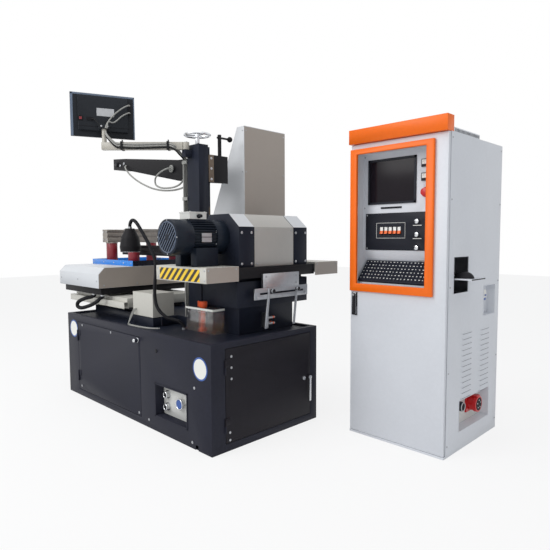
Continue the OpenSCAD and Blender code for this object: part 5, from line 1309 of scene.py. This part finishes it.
@dataclass
class Cabinet:
    """Door fittings, side sockets, breaker and roof strip of the control cabinet."""

    side: float = 1.763
    front: float = 0.3950
    plate: float = 1.7058
    lock_x: tuple[float, float] = (1.1795, 1.2125)
    lock_z: tuple[float, float] = (0.7075, 0.8405)
    inlet: tuple[float, float] = (0.812, 0.202)
    round_sockets: tuple[float, float] = (0.598, 0.690)
    recesses: tuple[tuple[float, float, float, float], ...] = (
        (0.851, 1.005, 0.710, 0.881), (0.565, 0.950, 0.104, 0.274), (0.471, 0.641, 0.865, 1.055))
    rim: float = 0.004
    louvre_feet: tuple[tuple[float, float], ...] = ((0.584, 0.282), (0.815, 0.276))
    louvres: int = 13
    louvre_pitch: float = 0.0295
    louvre_length: float = 0.110
    vents: int = 14
    vent_pitch: float = 0.026
    roof_slots: int = 20
    roof_pitch: float = 0.0146
    mouse_lead: tuple[Vec, ...] = (
        (1.7400, 0.536, 0.960), (1.7260, 0.538, 0.968), (1.7080, 0.556, 0.986), (1.6960, 0.588, 0.992),
        (1.6930, 0.604, 0.978), (1.7040, 0.612, 0.958), (1.7200, 0.600, 0.9480), (1.7150, 0.580, 0.9472),
        (1.6900, 0.560, 0.9472), (1.6600, 0.556, 0.9472))

    def build(self) -> None:
        """Makes the cabinet's fittings."""
        self.door()
        self.side_sockets()
        self.breaker()
        self.recess_rims()
        self.roof_strip()
        fasten("side_screws", "machine", grid((self.side,), (0.432, 1.050), (0.06, 0.45, 0.90, 1.35, 1.66)),
               TO_DRUM, 0.005)
        Piece("mouse_lead", "mouse_shelf", CABLE_DARK, "black_plastic").tube(self.mouse_lead, 0.0026).done(0)
        Piece("mouse_tray_sheet", "mouse_shelf", PALE, "pale_paint").box(
            (1.7640, 0.4737, 0.9382), (1.8579, 0.6383, 0.9443)).done(0.0006)
        self.back_sheet()
        self.louvre_lip_shades()
        Piece("mouse_seam", "mouse_shelf", RECESS, "black_plastic").box(
            (1.7560, 0.5355, 0.9600), (1.7600, 0.5365, 0.9720)).done(0)
        Piece("cabinet_feet_trim", "machine", MOULDED, "black_plastic").box(
            (1.1632, 0.3954, 0.0), (1.7628, 0.3960, 0.010)).done(0)

    def door(self) -> None:
        """Makes the lock's raised plate, its cylinder and the door's edge trim."""
        (left, right), (foot, top) = self.lock_x, self.lock_z
        back, front = 0.38695, self.front
        lock = Piece("lock_plate", "cabinet_door", MOULDED, "black_plastic")
        lock.box((left, back, foot), (left + 0.0070, front, top))
        lock.box((right - 0.0070, back, foot), (right, front, top))
        lock.box((left, back, foot), (right, front, foot + 0.0070))
        lock.done(0.0008)
        Piece("lock_cylinder", "door_lock", STEEL, "steel").stub(
            ((left + right) / 2, 0.3777, 0.826), TO_FRONT, 0.002, 0.007).done(0.0004)
        trim = Piece("door_edge_trim", "cabinet_door", PALE, "pale_paint")
        for x in (1.1665, 1.7560):
            trim.box((x, front - 0.0006, 0.016), (x + 0.0035, front, 1.686))
        trim.done(0)

    def side_sockets(self) -> None:
        """Makes the red power inlet, the two round sockets and their plate."""
        y, z = self.inlet
        inlet = Piece("power_inlet", "machine", RED, "red_plastic")
        inlet.box((self.plate, 0.7618, 0.1518), (1.7154, 0.8622, 0.2522))
        inlet.stub((1.7150, y, z), TO_DRUM, 0.0330, 0.0424, sides=56)
        inlet.stub((1.7480, y, z), TO_DRUM, 0.0192, 0.0470, 0.0450, 56)
        inlet.box((1.7300, 0.790, 0.244), (1.7640, 0.834, 0.2520))
        inlet.done(0.0012)
        Piece("power_inlet_core", "machine", RECESS, "black_plastic").stub(
            (1.7672, y, z), TO_DRUM, 0.0003, 0.0372, sides=48).done(0)
        fasten("power_inlet_pins", "machine",
               bolt_circle((1.7672, y, z), 0.022, (18, 90, 162, 234, 306), level=1), TO_DRUM, 0.0042, 0.004)
        rings = Piece("din_socket_rings", "machine", STEEL, "steel")
        cores = Piece("din_socket_cores", "machine", RECESS, "black_plastic")
        for y in self.round_sockets:
            rings.ring((1.7300, y, 0.205), TO_DRUM, 0.0235, 0.0032)
            rings.stub((self.plate, y, 0.205), TO_DRUM, 0.0042, 0.032, 0.030)
            cores.stub((1.7298, y, 0.205), TO_DRUM, 0.0008, 0.0215)
        rings.done(0.0005)
        cores.done(0)
        Piece("socket_plate", "machine", PANEL_LIGHT, "pale_paint").box(
            (self.plate, 0.5655, 0.1045), (self.plate + 0.0004, 0.9495, 0.2735)).done(0)

    def breaker(self) -> None:
        """Makes the breaker's white body and its blue lever."""
        Piece("breaker_body", "machine", DIAL, "white_sheet").box(
            (1.7178, 0.8655, 0.7955), (1.7560, 0.8965, 0.8565)).box(
            (1.7560, 0.8655, 0.8150), (1.7590, 0.8965, 0.8470)).done(0.001)
        Piece("breaker_lever", "machine", SOCKET_BLUE, "blue_plastic").box(
            (1.7178, 0.8650, 0.7955), (1.7566, 0.8970, 0.8100)).box(
            (1.7588, 0.8730, 0.8200), (1.7622, 0.8890, 0.8300)).done(0.001)

    def recess_rims(self) -> None:
        """Edges the side's three recesses with thin raised rims."""
        rim, face = self.rim, self.side
        edges = Piece("recess_rims", "machine", PALE, "pale_paint")
        for y0, y1, z0, z1 in self.recesses:
            for near, far, foot, top in ((y0 - rim, y0, z0 - rim, z1 + rim), (y1, y1 + rim, z0 - rim, z1 + rim),
                                         (y0, y1, z0 - rim, z0), (y0, y1, z1, z1 + rim)):
                edges.box((face, near, foot), (face + 0.0012, far, top))
        edges.done(0.0003)

    def roof_strip(self) -> None:
        """Cuts the dark slots of the roof's vent strip."""
        slots = Piece("roof_vent_slots", "machine", RECESS, "black_plastic")
        for k in range(self.roof_slots):
            y = 0.462 + self.roof_pitch * k
            slots.box((1.7598, y, 1.6935), (1.7604, y + 0.007, 1.7085))
        slots.done(0)

    def back_sheet(self) -> None:
        """Draws two columns of vents and two seams on the cabinet's back."""
        low, high = limits("cabinet_shell")
        face = high.y + 0.0003
        vents = Piece("back_sheet_vents", "machine", RECESS, "black_plastic")
        for x in (low.x + 0.10, low.x + 0.33):
            for k in range(self.vents):
                z = 1.10 + self.vent_pitch * k
                vents.box((x, high.y, z), (x + 0.17, face, z + 0.006))
        for z in (0.032, 1.664):
            vents.box((low.x + 0.025, high.y, z), (high.x - 0.025, face, z + SEAM))
        vents.done(0)

    def louvre_lip_shades(self) -> None:
        """Paints a grey line of shadow on the lower lip of every louvre in the side."""
        foot, top = self.side + 0.0060, self.side + 0.0045
        lips = Piece("louvre_lip_shades", "machine", LIP_SHADE, "pale_paint")
        for y, z in self.louvre_feet:
            near, far = y + 0.001, y + 0.001 + self.louvre_length
            for k in range(self.louvres):
                lip = z + self.louvre_pitch * k
                lips.sheet([(foot, near, lip), (foot, far, lip), (top, far, lip + 0.002),
                            (top, near, lip + 0.002)], (0.0004, 0, 0.0003))
        lips.done(0)


@dataclass
class Console:
    """What the operator sees in the door's window."""

    back: float = 0.482
    face: float = 0.478
    meter_x: float = 1.5885
    meter_zs: tuple[float, float] = (1.550, 1.476)
    meter_marks: int = 9
    mark_step: float = 12.5
    keys: tuple[int, int] = (20, 6)
    desk: Vec = (1.203, 0.418, 0.896)
    desk_size: tuple[float, float] = (0.452, 0.150)
    desk_run: float = 0.104
    desk_rise: float = 0.122
    desk_edge: float = 0.006
    key_top: float = 0.021
    key_lead: tuple[Vec, ...] = (
        (1.6300, 0.4790, 1.082), (1.6360, 0.4700, 1.078), (1.6400, 0.4620, 1.060), (1.6340, 0.4620, 1.040),
        (1.6100, 0.4660, 1.030), (1.5800, 0.4740, 1.032), (1.5560, 0.4800, 1.030))

    def build(self) -> None:
        """Makes the console's faces, lights and key legends."""
        y, face = self.back, self.face
        Piece("display_bezel", "machine", PANEL, "black_plastic").border(
            (1.225, y - 0.006, 1.348), (1.535, y, 1.604), 0.012).done(0.0015)
        Piece("display_glass", "machine", SCREEN, "dark_screen").box(
            (1.2365, y + 0.0005, 1.3595), (1.5235, y + 0.0030, 1.5925)).done(0.0012)
        Piece("switch_border", "machine", PANEL_LIGHT, "pale_paint").border(
            (1.284, face - 0.0008, 1.154), (1.472, face, 1.242), 0.0022).done(0.0003)
        self.meters()
        Piece("stop_ring", "machine", RED, "red_plastic").ring(
            (1.592, y - 0.0035, 1.401), TO_BACK, 0.0235, 0.0035).done(0)
        plates = Piece("button_plates", "machine", PANEL_LIGHT, "pale_paint")
        for z in (1.222, 1.150):
            plates.box((1.520, face - 0.0003, z), (1.572, face, z + 0.004))
        plates.done(0)
        Piece("panel_screws", "machine", STEEL, "steel").screws(
            grid((1.220, 1.652), (face,), (1.096, 1.287)), TO_FRONT, 0.0045).screws(
            grid((1.200, 1.658), (y,), (1.330, 1.625)), TO_FRONT, 0.0045).done(0)
        Piece("drive_slot", "machine", RECESS, "black_plastic").box(
            (1.318, face - 0.0003, 1.3255), (1.440, face, 1.3285)).done(0)
        Piece("key_lead", "machine", CABLE, "grey_cable").tube(self.key_lead, 0.0030).done(0)
        self.legends()

    def meters(self) -> None:
        """Makes the two meters: dial, needle and scale."""
        x, y = self.meter_x, self.back
        dials = Piece("meter_dials", "machine", DIAL, "white_sheet")
        needles = Piece("meter_needles", "machine", RED, "red_plastic")
        marks = Piece("meter_marks", "machine", RECESS, "black_plastic")
        for z in self.meter_zs:
            dials.box((1.5700, y - 0.0084, z), (1.6070, y - 0.0080, z + 0.024))
            needles.tube(((x, y - 0.0088, z), (x - 0.0085, y - 0.0088, z + 0.019)), 0.0004, sides=6)
            for k in range(self.meter_marks):
                turn = math.radians(40 + self.mark_step * k)
                across, rise = math.cos(turn), math.sin(turn)
                marks.rod((x + 0.016 * across, y - 0.0086, z + 0.0180 * rise),
                          (x + 0.018 * across, y - 0.0086, z + 0.02025 * rise), 0.0003, sides=6)
        dials.done(0.0003)
        needles.done(0)
        marks.done(0)

    def legends(self) -> None:
        """Puts a plain pale mark on each key."""
        columns, rows = self.keys
        edge, top = self.desk_edge, self.key_top
        step_x, step_y = ((size - 2 * edge) / count for size, count in zip(self.desk_size, self.keys))
        slope = math.atan2(self.desk_rise, self.desk_run)
        place = Matrix.Translation(self.desk) @ Matrix.Rotation(slope, 4, "X")
        piece = Piece("key_marks", "machine", DIAL, "white_sheet")
        for i in range(columns):
            for j in range(rows):
                x, y = edge + (i + 0.34) * step_x, 2 * edge + (j + 0.52) * step_y
                wide = 0.0052 + 0.0022 * ((i * 7 + j * 3) % 3)
                piece.box((x, y, top), (x + wide, y + 0.0042, top + 0.0002), place)
        piece.done(0)


@dataclass
class Studio:
    """Camera, floor and lights; none of it is part of the machine."""

    spot: Vec = (2.96645, -2.05079, 1.15901)
    yaw: float = 44.84
    pitch: float = 4.155
    roll: float = -0.243
    lens: float = 33.457
    white_share: float = 0.82
    sky_strength: float = 0.6
    floor_half: float = 14.0
    floor_spot: Vec = (0.4, 0.2, -0.0005)
    lamps: tuple[tuple[str, Vec, Vec, float, float], ...] = (
        ("key", (-0.6, -4.6, 3.6), (0.4, 0, 0.9), 120, 3.0),
        ("top", (0.2, -0.8, 5.0), (0.4, 0.1, 0), 60, 3.6),
        ("side", (5.2, 0.4, 2.6), (0.8, 0.1, 0.9), 8, 3.0))

    def camera(self) -> None:
        """Puts the camera where the photograph was taken."""
        data = bpy.data.cameras.new("photo_camera")
        data.lens, data.sensor_width = self.lens, 36.0
        obj = bpy.data.objects.new("photo_camera", data)
        bpy.context.scene.collection.objects.link(obj)
        yaw, pitch, roll = (math.radians(a) for a in (self.yaw, self.pitch, self.roll))
        look = Vector((-math.sin(yaw) * math.cos(pitch), math.cos(yaw) * math.cos(pitch), -math.sin(pitch)))
        right = Vector((math.cos(yaw), math.sin(yaw), 0))
        up = right.cross(look)
        across = math.cos(roll) * right + math.sin(roll) * up
        above = -math.sin(roll) * right + math.cos(roll) * up
        turn = Matrix((across, above, -look)).transposed().to_4x4()
        obj.matrix_world = Matrix.Translation(self.spot) @ turn
        bpy.context.scene.camera = obj

    def floor(self) -> None:
        """Lays a pale floor under the machine."""
        mesh = bmesh.new()
        bmesh.ops.create_grid(mesh, x_segments=1, y_segments=1, size=self.floor_half)
        data = bpy.data.meshes.new("floor")
        mesh.to_mesh(data)
        mesh.free()
        obj = bpy.data.objects.new("floor", data)
        obj.location = self.floor_spot
        bpy.context.scene.collection.objects.link(obj)
        data.materials.append(self.floor_paint())

    @staticmethod
    def seen(tree: bpy.types.NodeTree) -> bpy.types.NodeSocket:
        """Tells whether a ray is what the camera, a mirror or glass sees.

        Args:
            tree: the nodes of a material or of the world.

        Returns:
            A socket that is 1 for such a ray and 0 for any other.
        """
        path = tree.nodes.new("ShaderNodeLightPath")
        total = path.outputs["Is Camera Ray"]
        for name in ("Is Glossy Ray", "Is Transmission Ray"):
            most = tree.nodes.new("ShaderNodeMath")
            most.operation = "MAXIMUM"
            tree.links.new(total, most.inputs[0])
            tree.links.new(path.outputs[name], most.inputs[1])
            total = most.outputs[0]
        return total

    def floor_paint(self) -> bpy.types.Material:
        """Makes a floor that is seen as white and still holds a soft shadow.

        Returns:
            The floor's material.
        """
        mat = bpy.data.materials.new("mat_floor")
        mat.use_nodes = True
        tree = mat.node_tree
        new, link = tree.nodes.new, tree.links.new
        matt = tree.nodes["Principled BSDF"]
        matt.inputs["Base Color"].default_value = linear((232, 232, 233))
        matt.inputs["Roughness"].default_value = 0.8
        white, share, mix = new("ShaderNodeEmission"), new("ShaderNodeMath"), new("ShaderNodeMixShader")
        white.inputs["Strength"].default_value = 1.0
        share.operation = "MULTIPLY"
        share.inputs[1].default_value = self.white_share
        link(self.seen(tree), share.inputs[0])
        link(share.outputs[0], mix.inputs["Fac"])
        link(matt.outputs["BSDF"], mix.inputs[1])
        link(white.outputs["Emission"], mix.inputs[2])
        link(mix.outputs["Shader"], tree.nodes["Material Output"].inputs["Surface"])
        return mat

    def sky(self) -> None:
        """Lights the scene evenly and shows white behind it."""
        world = bpy.data.worlds.new("studio")
        world.use_nodes = True
        tree = world.node_tree
        soft = tree.nodes["Background"]
        soft.inputs["Color"].default_value = (0.95, 0.975, 1.0, 1)
        soft.inputs["Strength"].default_value = self.sky_strength
        white, mix = tree.nodes.new("ShaderNodeBackground"), tree.nodes.new("ShaderNodeMixShader")
        white.inputs["Color"].default_value = (1, 1, 1, 1)
        white.inputs["Strength"].default_value = 1.0
        tree.links.new(self.seen(tree), mix.inputs["Fac"])
        tree.links.new(soft.outputs["Background"], mix.inputs[1])
        tree.links.new(white.outputs["Background"], mix.inputs[2])
        tree.links.new(mix.outputs["Shader"], tree.nodes["World Output"].inputs["Surface"])
        bpy.context.scene.world = world

    @staticmethod
    def lamp(name: str, spot: Vec, aim: Vec, power: float, size: float) -> None:
        """Adds one soft lamp.

        Args:
            name: its name.
            spot: where it hangs.
            aim: what it points at.
            power: watts.
            size: side of its square.
        """
        data = bpy.data.lights.new(name, "AREA")
        data.energy, data.size = power, size
        obj = bpy.data.objects.new(name, data)
        obj.location = spot
        obj.rotation_euler = (Vector(aim) - Vector(spot)).to_track_quat("-Z", "Y").to_euler()
        bpy.context.scene.collection.objects.link(obj)

    def build(self) -> None:
        """Sets camera, floor, world and lamps."""
        self.camera()
        self.floor()
        self.sky()
        bpy.context.scene.view_settings.view_transform = "Standard"
        for lamp in self.lamps:
            self.lamp(*lamp)


def main() -> None:
    """Dresses the frame, builds every sub-assembly and reports each piece."""
    logging.basicConfig(level=logging.INFO)
    for node, (finish, bevel) in DRESS.items():
        dress(node, finish, bevel)
    for part in (Studio(), MachineBase(), WorkTable(), WireStand(), WireDrum(), MonitorStation(), Cabinet(),
                 Console()):
        part.build()
        log.info("built %s", type(part).__name__)
    for obj in bpy.context.scene.objects:
        if obj.type == "MESH":
            log.info("piece %s, %d faces", obj.name, len(obj.data.polygons))


if __name__ == "__main__":
    main()
